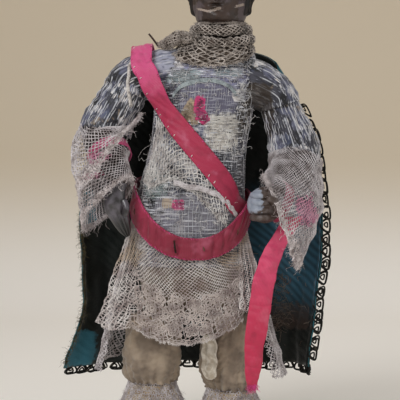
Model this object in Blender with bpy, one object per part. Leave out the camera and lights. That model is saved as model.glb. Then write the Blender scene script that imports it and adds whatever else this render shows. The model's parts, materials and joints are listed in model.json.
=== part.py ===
# Costumed doll: stuffed body, modelled head and hands, brocade, lace, silk ribbon and a lined cape.
# Metres, +Z up. The doll faces -Y, so its own right side lies at -X.
import math

import bpy
import numpy as np
from mathutils import Vector

# Clearance between layers and between pieces that meet, and the overrun of every cutter
gap = 0.0004
seat_gap = 0.0003
overrun = 0.001

# Torso, measured on the outside of the tunic
torso_bottom = 0.080
torso_top = 0.242
torso_half_width = 0.0325
torso_half_depth = 0.0255
hip_x = -0.0090
neck_x = 0.0095
tunic_wall = 0.0011
tunic_hem = 0.1080
tunic_neck_drop = 0.0039
# rows of height, half width, half depth and lean from hip to neck
torso_shares = (
    (0.000, 0.95, 0.86, 0.00),
    (0.134, 0.98, 0.96, 0.00),
    (0.256, 1.00, 1.02, 0.00),
    (0.350, 1.00, 1.02, 0.00),
    (0.439, 0.97, 0.97, 0.06),
    (0.622, 0.87, 0.87, 0.30),
    (0.774, 0.90, 0.84, 0.48),
    (0.854, 0.90, 0.78, 0.55),
    (0.915, 0.83, 0.67, 0.68),
    (0.951, 0.70, 0.58, 0.80),
    (0.982, 0.48, 0.49, 0.92),
    (1.000, 0.33, 0.42, 1.00),
)
torso_squareness = 2.3

# Layers over the tunic, each worked out from the one below
lace_wall = 0.0008
silk_wall = 0.0008
lace_lift = gap
sash_lift = lace_lift + lace_wall + gap
belt_lift = sash_lift + silk_wall + gap

# Ribbon, and how the sash and the belt run round the body
ribbon_width = 0.0125
sash_drop = 0.0616
sash_slope = 0.0409
sash_sag = 0.0034
sash_pull = 0.0049
belt_height = 0.1396
belt_tilt = 0.0035
belt_droop = 0.0133
belt_hug = 0.0069
belt_pin_length = 0.0080
belt_pin_radius = 0.0006
belt_pin_angle = math.radians(247)
shoulder_pin_length = 0.0150
shoulder_pin_radius = 0.0005
shoulder_pin_angle = math.radians(192)
shoulder_pin_tilt_angle = math.radians(28)

# Net lace strip under the sash
chest_lace_drop = 0.0170
chest_lace_from_angle = math.radians(222)
chest_lace_to_angle = math.radians(309)

# Neck, head and collar
neck_dowel_radius = 0.0030
neck_dowel_in_torso = 0.0160
neck_dowel_in_head = 0.0180
head_bottom = torso_top + seat_gap
head_height = 0.0577
head_half_width = 0.0172
head_half_depth = 0.0200
head_turn_angle = math.radians(10)
# rows of height, half width, front and back
head_shares = (
    (0.000, 0.64, 0.56, 0.56),
    (0.100, 0.63, 0.56, 0.58),
    (0.150, 0.72, 0.74, 0.62),
    (0.185, 0.82, 0.89, 0.66),
    (0.260, 0.92, 0.93, 0.76),
    (0.340, 0.97, 0.94, 0.90),
    (0.480, 1.00, 0.93, 1.02),
    (0.620, 1.00, 0.90, 1.08),
    (0.760, 0.97, 0.84, 1.05),
    (0.880, 0.80, 0.66, 0.88),
    (0.960, 0.50, 0.40, 0.56),
    (0.992, 0.22, 0.18, 0.24),
)
# rows of a bump's direction in degrees, height, reach, spread round in degrees and spread up
head_bump_shares = (
    (270, 0.435, 0.25, 9, 0.060),
    (270, 0.215, 0.07, 14, 0.035),
    (270, 0.320, 0.08, 15, 0.030),
    (270, 0.640, 0.08, 34, 0.040),
    (302, 0.440, 0.05, 14, 0.080),
    (238, 0.440, 0.05, 14, 0.080),
    (4, 0.470, 0.21, 9, 0.090),
    (176, 0.470, 0.21, 9, 0.090),
)
collar_side_drop = 0.0062
collar_droop = 0.0105
collar_step = 0.0012
collar_thickness = 0.0024
collar_crown_share = 1.15
collar_waves = 6
collar_upper_rise = 0.0056
collar_upper_radius = 0.0146
collar_upper_half = 0.0030
bunch_radius = 0.0044
bunch_angle = math.radians(203)
bunch_spread_angle = math.radians(22)
bunch_drop = 0.0045
round_end_share = 0.02

# Arms: the middle of the domed shoulder, then the places of the elbow and the wrist
right_shoulder = Vector((-0.0408, 0.0010, 0.2210))
right_elbow = Vector((-0.0570, 0.0020, 0.1850))
right_wrist = Vector((-0.0500, -0.0215, 0.1560))
left_shoulder = Vector((0.0412, 0.0010, 0.2120))
left_elbow = Vector((0.0550, 0.0030, 0.1720))
left_wrist = Vector((0.0430, -0.0190, 0.1500))
right_shoulder_radius = 0.0115
left_shoulder_radius = 0.0105
elbow_radius = 0.0128
wrist_radius = 0.0062
arm_bow_share = 0.08
arm_swell_share = 1.08
sleeve_wall = 0.0009
right_sleeve_share = 0.50
left_sleeve_share = 0.56
shoulder_dowel_radius = 0.0020
shoulder_dowel_in_torso = 0.0130
shoulder_dowel_past_axis = -0.0002

# Hands
hand_length = 0.0280
hand_half_width = 0.0062
hand_half_depth = 0.0042
hand_middle_share = 0.45
hand_middle_shift = Vector((0.0005, -0.0010, 0))
hand_tip_shift = Vector((0.0015, 0.0015, 0))
# rows of length, half width and half depth from the wrist to the fingertips
hand_shares = (
    (0.00, 0.72, 0.95),
    (0.15, 0.70, 0.85),
    (0.40, 1.00, 0.95),
    (0.65, 0.95, 0.75),
    (0.90, 0.62, 0.50),
    (1.00, 0.30, 0.30),
)
fist_centre = Vector((0.0345, -0.0290, 0.1450))
fist_radius = 0.0098
fist_stretch_share = 1.12
fist_neck_share = 0.80
fist_end_share = 0.18

# Net cuffs: the middle of the rim, its half length along the slope and its half depth
cuff_wall = 0.0008
right_cuff_rim = Vector((-0.0535, -0.0060, 0.1745))
right_cuff_half = 0.0255
right_cuff_depth = 0.0200
right_cuff_slope_angle = math.radians(52)
right_inner_rim = Vector((-0.0520, -0.0195, 0.1490))
right_inner_half = 0.0180
right_inner_depth = 0.0150
right_inner_slope_angle = math.radians(38)
left_cuff_rim = Vector((0.0445, -0.0200, 0.1395))
left_cuff_half = 0.0300
left_cuff_depth = 0.0215
left_cuff_slope_angle = math.radians(-64)

# Wrist ribbons and the streamer
wrist_ribbon_share = 0.55
wrist_loop_fall = Vector((-0.0046, -0.0133, -0.0172))
streamer_length = 0.0930
streamer_turn_share = 0.12
# rows of length, sideways place, forward place and half width along the streamer
streamer_shares = (
    (0.00, 0.00, 0.000, 0.40),
    (0.12, -0.03, 0.060, 0.48),
    (0.30, -0.09, 0.125, 0.50),
    (0.60, -0.14, 0.155, 0.49),
    (0.85, -0.13, 0.150, 0.40),
    (1.00, -0.11, 0.140, 0.30),
)

# Lace and net hung from under the belt: where it starts and ends round the body, and its hem
hung_overlap = 0.0020
apron_from_angle = math.radians(214)
apron_to_angle = math.radians(324)
apron_hem_left = Vector((-0.0450, -0.0255, 0.0760))
apron_hem_middle = Vector((-0.0120, -0.0325, 0.0640))
apron_hem_right = Vector((0.0230, -0.0265, 0.0780))
side_lace_from_angle = math.radians(193)
side_lace_to_angle = math.radians(211)
side_lace_hem_left = Vector((-0.0610, -0.0130, 0.0740))
side_lace_hem_middle = Vector((-0.0550, -0.0200, 0.0720))
side_lace_hem_right = Vector((-0.0475, -0.0240, 0.0760))
ruffle_from_angle = math.radians(327)
ruffle_to_angle = math.radians(347)
ruffle_hem_left = Vector((0.0225, -0.0250, 0.0880))
ruffle_hem_middle = Vector((0.0290, -0.0235, 0.0860))
ruffle_hem_right = Vector((0.0350, -0.0170, 0.0900))
right_panel_from_angle = math.radians(150)
right_panel_to_angle = math.radians(190)
right_panel_hem_left = Vector((-0.0500, 0.0220, 0.0560))
right_panel_hem_middle = Vector((-0.0600, 0.0080, 0.0520))
right_panel_hem_right = Vector((-0.0610, -0.0060, 0.0520))
left_panel_from_angle = math.radians(350)
left_panel_to_angle = math.radians(395)
left_panel_hem_left = Vector((0.0375, -0.0150, 0.0440))
left_panel_hem_middle = Vector((0.0410, 0.0000, 0.0440))
left_panel_hem_right = Vector((0.0360, 0.0200, 0.0520))
fold_depth = 0.0011
ruffle_folds = 8

# Legs
thigh_radius = 0.0095
thigh_knee_share = 0.80
right_leg_x = -0.0300
left_leg_x = 0.0150
leg_y = 0.0010
hip_seat = torso_bottom - seat_gap
knee_height = 0.0340
breeches_top = torso_bottom - 0.0020
breeches_bottom = 0.0370
right_breeches_radius = 0.0195
left_breeches_radius = 0.0172
breeches_fold = 0.0008
breeches_folds = 8
# rows of height and radius of a breeches leg
breeches_shares = (
    (0.00, 0.78),
    (0.14, 0.93),
    (0.38, 1.00),
    (0.62, 0.97),
    (0.84, 0.88),
    (1.00, 0.72),
)
tab_width = 0.0072
tab_height = 0.0200
tab_thickness = 0.0016
tab_angle = math.radians(232)
knee_ruffle_height = 0.0150
knee_ruffle_flare = 0.0055
knee_ruffle_wall = 0.0010
knee_ruffle_radius = 0.0140
shin_radius = 0.0064
ankle_radius = 0.0048
shoe_length = 0.0370
shoe_half_width = 0.0080
shoe_ankle_height = 0.0130
shoe_heel_y = 0.0130
sole_thickness = 0.0030
sole_edge = 0.0008
shin_in_shoe = 0.0060
# rows of length from heel to toe, with the half width, and then with the height
shoe_width_shares = (
    (0.00, 0.45),
    (0.06, 0.74),
    (0.20, 0.80),
    (0.45, 0.80),
    (0.70, 1.00),
    (0.88, 0.80),
    (0.97, 0.45),
    (1.00, 0.25),
)
shoe_height_shares = (
    (0.00, 0.75),
    (0.10, 0.95),
    (0.30, 1.00),
    (0.50, 0.72),
    (0.75, 0.50),
    (0.93, 0.36),
    (1.00, 0.20),
)

# Cape: two skins with the gap between them, hung behind the shoulders and arms
cape_wall = 0.0008
cape_top_drop = 0.0050
cape_hem_height = 0.0430
cape_shoulder_y = 0.0165
cape_hem_back = 0.0450
cape_edge_y = 0.0165
cape_top_half_width = 0.0400
cape_hem_half_width = 0.0705
cape_corner_flare = 0.0110
cape_corner_forward = 0.0060
cape_fold_depth = 0.0022
cape_folds = 5
cape_shoulder_drop = 0.0130
cape_lean_share = 0.40
cape_corner_spread_angle = math.radians(20)
cape_corner_share = 0.96
cape_corner_rise_share = 0.13
trim_radius = 0.0012
trim_start_share = 0.12
# rows of fall, width and depth between the top and the hem
cape_shares = (
    (0.00, 0.00, 0.00),
    (0.08, 0.36, 0.22),
    (0.20, 0.70, 0.44),
    (0.36, 0.95, 0.62),
    (0.60, 1.00, 0.82),
    (1.00, 1.00, 1.00),
)

# Mesh density
torso_sides = 24
arm_sides = 14
hand_sides = 12
cuff_sides = 20
cuff_rows = 4
head_sides = 24
leg_sides = 24
dowel_sides = 16
pin_sides = 8
sash_columns = 44
belt_columns = 40
cape_columns = 29
cape_rows = 10

# Short step along a surface that gives its slope, and the length under which a vector counts as nothing
probe = 0.0001
tiny = 1e-9

bodies = {}


def clear_scene():
    for obj in list(bpy.data.objects):
        bpy.data.objects.remove(obj, do_unlink=True)


def make_material(name, colour, roughness):
    material = bpy.data.materials.new(name)
    material.use_nodes = True
    shader = material.node_tree.nodes["Principled BSDF"]
    shader.inputs["Base Color"].default_value = (*colour, 1.0)
    shader.inputs["Roughness"].default_value = roughness
    return material


def make_body(name, place, parent=None):
    """An empty on a joint's axis, which carries the pieces that move with it."""
    empty = bpy.data.objects.new(name, None)
    bpy.context.scene.collection.objects.link(empty)
    origin = Vector(place)
    empty.parent = parent
    empty.location = origin - (bodies[parent.name] if parent else Vector((0, 0, 0)))
    bodies[name] = origin
    return empty


def make_object(name, points, faces, body, colour, roughness=0.8):
    """A closed mesh from points in the doll's frame, carried by a body, with its faces outwards."""
    points = np.asarray(points, float).reshape(-1, 3)
    volume = 0.0
    for face in faces:
        for i in range(1, len(face) - 1):
            a, b, c = points[face[0]], points[face[i]], points[face[i + 1]]
            volume += float(np.dot(a, np.cross(b, c)))
    if volume < 0:
        faces = [tuple(reversed(face)) for face in faces]
    mesh = bpy.data.meshes.new(name)
    local = points - np.array(bodies[body.name])
    mesh.from_pydata([tuple(p) for p in local], [], [tuple(f) for f in faces])
    mesh.validate()
    mesh.shade_smooth()
    mesh.set_sharp_from_angle(angle=math.radians(40))
    mesh.materials.append(make_material(name, colour, roughness))
    obj = bpy.data.objects.new(name, mesh)
    bpy.context.scene.collection.objects.link(obj)
    obj.parent = body
    return obj


def along(rows, places):
    """Smooth curve through rows of a place and its values, which never overshoots a row."""
    rows = np.asarray(rows, float)
    x = rows[:, 0]
    places = np.clip(np.asarray(places, float), x[0], x[-1])
    result = []
    for column in rows[:, 1:].T:
        step = np.diff(x)
        slope = np.diff(column) / step
        tangent = np.zeros(len(x))
        same = slope[:-1] * slope[1:] > 0
        tangent[1:-1][same] = (2 * slope[:-1] * slope[1:] / np.where(same, slope[:-1] + slope[1:], 1))[same]
        tangent[0], tangent[-1] = slope[0], slope[-1]
        i = np.clip(np.searchsorted(x, places, side="right") - 1, 0, len(x) - 2)
        t = (places - x[i]) / step[i]
        result.append(
            (2 * t**3 - 3 * t**2 + 1) * column[i]
            + (t**3 - 2 * t**2 + t) * step[i] * tangent[i]
            + (3 * t**2 - 2 * t**3) * column[i + 1]
            + (t**3 - t**2) * step[i] * tangent[i + 1]
        )
    return result


def unit(vectors):
    return vectors / np.maximum(np.linalg.norm(vectors, axis=-1, keepdims=True), tiny**2)


def superellipse(angle):
    cosine, sine = np.cos(angle), np.sin(angle)
    power = 2 / torso_squareness
    return np.sign(cosine) * np.abs(cosine) ** power, np.sign(sine) * np.abs(sine) ** power


def torso_surface(angle, height):
    """The outside of the tunic at an angle round the body, 270 degrees in front, and a height."""
    share = (height - torso_bottom) / (torso_top - torso_bottom)
    width, depth, lean = along(torso_shares, share)
    across, back = superellipse(angle)
    x = hip_x + (neck_x - hip_x) * lean + torso_half_width * width * across
    y = torso_half_depth * depth * back
    return np.stack(np.broadcast_arrays(x, y, height), axis=-1)


def on_torso(angle, height, lift):
    """Points a lift outside the tunic, measured square to its surface."""
    angle, height, lift = np.broadcast_arrays(*(np.asarray(value, float) for value in (angle, height, lift)))
    base = torso_surface(angle, height)
    turn = probe / torso_half_width
    round_it = torso_surface(angle + turn, height) - torso_surface(angle - turn, height)
    up = torso_surface(angle, height + probe) - torso_surface(angle, height - probe)
    return base + unit(np.cross(round_it, up)) * lift[..., None]


def torso_normal(angle, height):
    return unit(on_torso(angle, height, probe) - on_torso(angle, height, 0))


def loft(name, rings, body, colour, roughness=0.8, wrap=False):
    """A closed solid through rings of points. With wrap the last ring joins the first."""
    rings = np.asarray(rings, float)
    count, sides = rings.shape[:2]
    faces = []
    for i in range(count if wrap else count - 1):
        below, above = i * sides, (i + 1) % count * sides
        for j in range(sides):
            k = (j + 1) % sides
            faces.append((below + j, below + k, above + k, above + j))
    points = rings.reshape(-1, 3)
    if not wrap:
        points = np.vstack([points, rings[0].mean(axis=0), rings[-1].mean(axis=0)])
        first, last = count * sides, count * sides + 1
        for j in range(sides):
            k = (j + 1) % sides
            faces.append((first, k, j))
            faces.append((last, (count - 1) * sides + j, (count - 1) * sides + k))
    return make_object(name, points, faces, body, colour, roughness)


def slab(name, front, back, body, colour, roughness=0.8):
    """A closed solid between two grids of points, with a rim round all four sides."""
    rows, columns = front.shape[:2]
    size = rows * columns
    points = np.vstack([front.reshape(-1, 3), back.reshape(-1, 3)])
    faces = []
    for i in range(rows - 1):
        for j in range(columns - 1):
            a = i * columns + j
            faces.append((a, a + 1, a + columns + 1, a + columns))
            faces.append((size + a, size + a + columns, size + a + columns + 1, size + a + 1))
    edge = [j for j in range(columns)]
    edge += [i * columns + columns - 1 for i in range(1, rows)]
    edge += [(rows - 1) * columns + j for j in range(columns - 2, -1, -1)]
    edge += [i * columns for i in range(rows - 2, 0, -1)]
    for i, a in enumerate(edge):
        b = edge[(i + 1) % len(edge)]
        faces.append((b, a, size + a, size + b))
    return make_object(name, points, faces, body, colour, roughness)


def grid_normals(grid):
    return unit(np.cross(np.gradient(grid, axis=1), np.gradient(grid, axis=0)))


def sheet(name, grid, wall, body, colour, roughness=0.85):
    """Cloth of one wall, half to each side of a grid of points."""
    shift = grid_normals(grid) * wall / 2
    return slab(name, grid + shift, grid - shift, body, colour, roughness)


def ring_frames(path, start_normal=None):
    """Two directions square to a path at each point, carried along it without twist."""
    tangents = unit(np.gradient(path, axis=0))
    side = np.array(start_normal if start_normal is not None else (0.0, 1.0, 0.0), float)
    firsts, seconds = [], []
    for tangent in tangents:
        side = unit(side - tangent * side.dot(tangent))
        firsts.append(side)
        seconds.append(np.cross(tangent, side))
    return np.array(firsts), np.array(seconds), tangents


def circle_angles(sides):
    return np.arange(sides) * 2 * math.pi / sides


def rings_along(path, radii, sides, frames=None):
    """A round ring at each point of a path."""
    first, second, _ = frames if frames is not None else ring_frames(path)
    angle = circle_angles(sides)
    radii = np.broadcast_to(radii, len(path))
    spokes = first[:, None] * np.cos(angle)[None, :, None] + second[:, None] * np.sin(angle)[None, :, None]
    return path[:, None] + spokes * radii[:, None, None]


def rod(name, start, end, radius, body, colour, roughness=0.6, sides=dowel_sides):
    path = np.array((tuple(start), tuple(end)))
    reach = abs(path[1] - path[0])
    side = (0, 1.0, 0) if reach.argmax() == 2 else (0, 0, 1.0)
    return loft(name, rings_along(path, radius, sides, ring_frames(path, side)), body, colour, roughness)


def bore(target, start, end, radius):
    """Cuts a round hole, from start to end, out of a piece."""
    cutter = rod(target.name + "_bore", start, end, radius, target.parent, (0.5, 0.5, 0.5))
    cutter.hide_render = True
    cutter.display_type = "WIRE"
    cut = target.modifiers.new("Bore", "BOOLEAN")
    cut.object = cutter
    cut.operation = "DIFFERENCE"
    cut.solver = "EXACT"


def smooth_path(points, count):
    """A smooth curve through a few places, evenly read."""
    points = np.array([tuple(p) for p in points])
    reach = np.concatenate([[0], np.cumsum(np.linalg.norm(np.diff(points, axis=0), axis=1))])
    padded = np.vstack([2 * points[0] - points[1], points, 2 * points[-1] - points[-2]])
    places = np.linspace(0, reach[-1], count)
    result = []
    for place in places:
        i = min(int(np.searchsorted(reach, place, side="right")) - 1, len(points) - 2)
        t = (place - reach[i]) / (reach[i + 1] - reach[i])
        a, b, c, d = padded[i : i + 4]
        result.append(
            0.5 * (2 * b + (c - a) * t + (2 * a - 5 * b + 4 * c - d) * t**2 + (3 * b - a - 3 * c + d) * t**3)
        )
    return np.array(result)


# Torso and tunic


def torso_stack(lift, bottom, top):
    """Rings round the torso at each row of its table between two heights."""
    rows = torso_bottom + np.array([row[0] for row in torso_shares]) * (torso_top - torso_bottom)
    between = rows[(rows > bottom + overrun) & (rows < top - overrun)]
    heights = np.concatenate([[bottom], between, [top]])
    angle = circle_angles(torso_sides)
    return on_torso(angle[None, :], heights[:, None], np.full((len(heights), torso_sides), lift))


def make_torso(figure):
    inside = -(tunic_wall + gap)
    rings = torso_stack(inside, torso_bottom, torso_top)
    rings[0, :, 2] = torso_bottom
    rings[-1, :, 2] = torso_top
    core = loft("torso_core", rings, figure, (0.55, 0.48, 0.38), 0.95)
    neck = np.array((neck_x, 0, torso_top))
    down = np.array((0, 0, neck_dowel_in_torso))
    up = np.array((0, 0, neck_dowel_in_head))
    bore(core, neck - down - (0, 0, seat_gap), neck + (0, 0, overrun), neck_dowel_radius + seat_gap)
    rod("neck_dowel", neck - down, neck + up, neck_dowel_radius, figure, (0.50, 0.34, 0.20))
    for side, shoulder in ((-1, right_shoulder), (1, left_shoulder)):
        start, end = shoulder_dowel_ends(side, shoulder)
        away = Vector((side * seat_gap, 0, 0))
        bore(core, start - away, end, shoulder_dowel_radius + seat_gap)


def shoulder_dowel_ends(side, shoulder):
    """The dowel on the arm's axis, from inside the torso to inside the stuffed arm."""
    skin = torso_surface(np.array(0.0 if side > 0 else math.pi), np.array(shoulder.z))[0]
    start = Vector((skin - side * shoulder_dowel_in_torso, shoulder.y, shoulder.z))
    end = shoulder + Vector((side * shoulder_dowel_past_axis, 0, 0))
    return start, end


def make_tunic(figure):
    top = torso_top - tunic_neck_drop
    outer = torso_stack(0.0, tunic_hem, top)
    inner = torso_stack(-tunic_wall, tunic_hem, top)
    tunic = loft("tunic", np.concatenate([outer, inner[::-1]]), figure, (0.55, 0.56, 0.60), wrap=True)
    for side, shoulder in ((-1, right_shoulder), (1, left_shoulder)):
        start, end = shoulder_dowel_ends(side, shoulder)
        bore(tunic, start, end, shoulder_dowel_radius + seat_gap)


# Ribbons and lace laid on the tunic


def sash_line(angle):
    line = torso_top - sash_drop - sash_slope * np.cos(angle)
    return line + sash_sag * np.cos(2 * angle) - sash_pull * np.cos(3 * angle)


def belt_line(angle):
    line = belt_height - belt_tilt * np.cos(angle)
    return line + belt_droop * np.sin(angle) + belt_hug * np.cos(2 * angle)


def half_rise(line, angle):
    """Half of a ribbon's width, measured straight up, where it runs at a slope."""
    middle = line(angle)
    step = probe / torso_half_width
    here = torso_surface(angle, middle)
    travel = torso_surface(angle + step, line(angle + step)) - here
    rise = travel[:, 2] / np.maximum(np.linalg.norm(travel[:, :2], axis=1), tiny)
    upright = np.linalg.norm(torso_normal(angle, middle)[:, :2], axis=1)
    return ribbon_width / 2 * np.sqrt(1 + rise**2) * upright


def ribbon_on_torso(name, line, lift, figure, colour, count):
    """A closed ribbon whose middle follows a line of heights round the body."""
    angle = circle_angles(count)
    middle = line(angle)
    half = half_rise(line, angle)
    section = []
    for side, rise in ((-1, silk_wall), (0, silk_wall), (1, silk_wall), (1, 0), (0, 0), (-1, 0)):
        section.append(on_torso(angle, middle + half * side, np.full(count, lift + rise)))
    rings = np.stack(section, axis=1)
    return loft(name, rings, figure, colour, 0.45, wrap=True)


def make_sash_and_belt(figure):
    ribbon_on_torso("sash", sash_line, sash_lift, figure, (0.62, 0.05, 0.14), sash_columns)
    ribbon_on_torso("belt", belt_line, belt_lift, figure, (0.60, 0.04, 0.13), belt_columns)
    middle = belt_line(belt_pin_angle)
    heights = np.array((middle - belt_pin_length / 2, middle + belt_pin_length / 2))
    lift = belt_lift + silk_wall + gap + belt_pin_radius
    ends = on_torso(np.full(2, belt_pin_angle), heights, np.full(2, lift))
    rod("belt_pin", ends[0], ends[1], belt_pin_radius, figure, (0.05, 0.04, 0.04), 0.4, pin_sides)


def make_shoulder_pin(figure):
    """A pin whose point rests on the sash at the shoulder, standing up and outwards."""
    height = sash_line(shoulder_pin_angle)
    lift = sash_lift + silk_wall + gap + shoulder_pin_radius / 2
    foot = Vector(on_torso(np.array(shoulder_pin_angle), np.array(height), np.array(lift)))
    out = math.sin(shoulder_pin_tilt_angle)
    lean = Vector((-out, -out / 2, math.cos(shoulder_pin_tilt_angle)))
    end = foot + lean.normalized() * shoulder_pin_length
    rod("shoulder_pin", foot, end, shoulder_pin_radius, figure, (0.04, 0.04, 0.04), 0.4, pin_sides)


def make_chest_lace(figure):
    angle = np.linspace(chest_lace_from_angle, chest_lace_to_angle, 14)
    top = sash_line(angle)
    shares = np.linspace(0, 1, 4)
    heights = top[None, :] - chest_lace_drop * shares[:, None]
    back = on_torso(angle[None, :], heights, np.full(heights.shape, lace_lift))
    front = on_torso(angle[None, :], heights, np.full(heights.shape, lace_lift + lace_wall))
    slab("chest_lace", front, back, figure, (0.62, 0.58, 0.50))


def ribbons_end(angle):
    """The height just below the belt, and below the sash where that hangs lower."""
    belt_end = belt_line(angle) - half_rise(belt_line, angle)
    sash_end = sash_line(angle) - half_rise(sash_line, angle)
    return np.minimum(belt_end, sash_end) - hung_overlap / 2


def hung_sheet(name, first, last, hem, columns, rows, folds, figure, colour):
    """Cloth held flat under the belt and spread to a hem of three places, with folds that grow downwards."""
    share = np.linspace(0, 1, columns)
    angle = first + (last - first) * share
    lift = np.full(columns, lace_lift + lace_wall / 2)
    top = on_torso(angle, belt_line(angle) + hung_overlap, lift)
    free = on_torso(angle, ribbons_end(angle), lift)
    a, b, c = (np.array(tuple(place)) for place in hem)
    left, middle, right = 2 * (share - 0.5) * (share - 1), 4 * share * (1 - share), 2 * share * (share - 0.5)
    low = left[:, None] * a + middle[:, None] * b + right[:, None] * c
    fall = np.linspace(0, 1, rows)[:, None, None]
    wave = 0.5 - 0.5 * np.cos(2 * math.pi * folds * share)
    out = unit(np.cross(np.gradient(low, axis=0), (0, 0, 1.0)))
    if np.dot(out[columns // 2], low[columns // 2] - np.array((hip_x, 0, 0))) < 0:
        out = -out
    hanging = free * (1 - fall) + low * fall + fall * (fold_depth * wave)[None, :, None] * out
    return sheet(name, np.concatenate([top[None], hanging]), lace_wall, figure, colour)


def make_hangings(figure):
    lace, net = (0.62, 0.57, 0.49), (0.58, 0.53, 0.45)
    apron_hem = (apron_hem_left, apron_hem_middle, apron_hem_right)
    side_hem = (side_lace_hem_left, side_lace_hem_middle, side_lace_hem_right)
    ruffle_hem = (ruffle_hem_left, ruffle_hem_middle, ruffle_hem_right)
    right_hem = (right_panel_hem_left, right_panel_hem_middle, right_panel_hem_right)
    left_hem = (left_panel_hem_left, left_panel_hem_middle, left_panel_hem_right)
    hung_sheet("apron", apron_from_angle, apron_to_angle, apron_hem, 27, 7, 5, figure, lace)
    hung_sheet("side_lace", side_lace_from_angle, side_lace_to_angle, side_hem, 13, 5, 3, figure, net)
    hung_sheet("waist_ruffle", ruffle_from_angle, ruffle_to_angle, ruffle_hem, 13, 5, 3, figure, lace)
    hung_sheet(
    "right_underskirt", right_panel_from_angle, right_panel_to_angle, right_hem, 13, 5, 2, figure, net
)
    hung_sheet("left_underskirt", left_panel_from_angle, left_panel_to_angle, left_hem, 13, 5, 2, figure, net)


# Collar


def collar_edge(angle):
    """The lower edge of the collar, which droops over the chest."""
    front = np.maximum(-np.sin(angle), 0)
    return torso_top - collar_side_drop - collar_droop * front**1.5


def make_collar(figure):
    angle = circle_angles(torso_sides)
    top = torso_top - collar_step
    low = collar_edge(angle)
    section = []
    for share, rise in ((0, 0), (0.5, 0), (1, 0), (1, 1), (0.5, collar_crown_share), (0, 1)):
        height = low + (top - low) * share
        section.append(on_torso(angle, height, np.full(len(angle), gap + collar_thickness * rise)))
    loft("collar_lower", np.stack(section, axis=1), figure, (0.55, 0.50, 0.42), 0.95, wrap=True)

    round_it = circle_angles(6) + math.pi / 6
    rings = []
    for a in angle:
        swell = 1 + math.cos(collar_waves * a) / collar_waves
        out = collar_upper_radius + collar_thickness / 2 * swell * np.cos(round_it)
        up = collar_upper_half * np.sin(round_it)
        height = torso_top + collar_upper_rise + up
        place = (neck_x + out * math.cos(a), out * math.sin(a), height)
        rings.append(np.stack(place, axis=1))
    loft("collar_upper", rings, figure, (0.55, 0.50, 0.42), 0.95, wrap=True)

    share = np.linspace(-1, 1, 9)
    lift = 2 * gap + collar_crown_share * collar_thickness + bunch_radius
    path = on_torso(bunch_angle + bunch_spread_angle * share, torso_top - bunch_drop, lift)
    radii = bunch_radius * np.sqrt(np.maximum(1 - share**2, round_end_share))
    rings = rings_along(path, radii, hand_sides, ring_frames(path, (0, 0, 1)))
    loft("collar_bunch", rings, figure, (0.58, 0.53, 0.45), 0.95)


# Head


def make_head(head):
    shares = np.array([row[0] for row in head_shares])
    dense = np.unique(np.concatenate([shares, (shares[3:8] + shares[4:9]) / 2]))
    width, front, back = along(head_shares, dense)
    angle = circle_angles(head_sides)
    rings = []
    for share, w, f, b in zip(dense, width, front, back):
        reach = np.where(np.sin(angle) < 0, f, b) * head_half_depth
        radial = np.stack([w * head_half_width * np.cos(angle), reach * np.sin(angle)], axis=1)
        for direction, height, size, spread, tall in head_bump_shares:
            off = (np.degrees(angle) - direction + 180) % 360 - 180
            bump = head_half_depth * size * np.exp(-((off / spread) ** 2) - ((share - height) / tall) ** 2)
            radial = radial + unit(radial) * bump[:, None]
        c, s = math.cos(-head_turn_angle), math.sin(-head_turn_angle)
        x = radial[:, 0] * c - radial[:, 1] * s + neck_x
        y = radial[:, 0] * s + radial[:, 1] * c
        rings.append(np.stack([x, y, np.full(head_sides, head_bottom + share * head_height)], axis=1))
    solid = loft("head", rings, head, (0.09, 0.06, 0.05), 0.45)
    neck = np.array((neck_x, 0, torso_top))
    end = neck + (0, 0, neck_dowel_in_head + seat_gap)
    bore(solid, neck - (0, 0, overrun), end, neck_dowel_radius + seat_gap)


# Arms, sleeves, cuffs and hands


def arm_path(shoulder, elbow, wrist):
    first = shoulder.lerp(elbow, 0.5) + Vector((elbow.x - shoulder.x, 0, 0)) * arm_bow_share
    return smooth_path((shoulder, first, elbow, elbow.lerp(wrist, 0.55), wrist), 13)


def arm_radii(shoulder_radius, count):
    share = np.linspace(0, 1, count)
    rows = (
        (0.0, shoulder_radius),
        (0.25, shoulder_radius * arm_swell_share),
        (0.55, elbow_radius),
        (0.75, (elbow_radius + wrist_radius) / 2),
        (1.0, wrist_radius),
    )
    return along(rows, share)[0]


def domed(path, radii, inset, count):
    """Rings of a tube's first points, with a dome at the start, drawn in all over by an inset."""
    dome = np.radians((14, 40, 66))
    first, second, tangents = (part[:count] for part in ring_frames(path))
    path, radii = path[:count], radii[:count]
    radius = radii[0] - inset
    caps = path[0] - tangents[0] * (radius * np.cos(dome))[:, None]
    full_path = np.vstack([caps, path])
    full_radii = np.concatenate([radius * np.sin(dome), radii - inset])
    frames = (
        np.vstack([np.repeat(first[:1], len(dome), axis=0), first]),
        np.vstack([np.repeat(second[:1], len(dome), axis=0), second]),
        None,
    )
    return rings_along(full_path, full_radii, arm_sides, frames)


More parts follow.
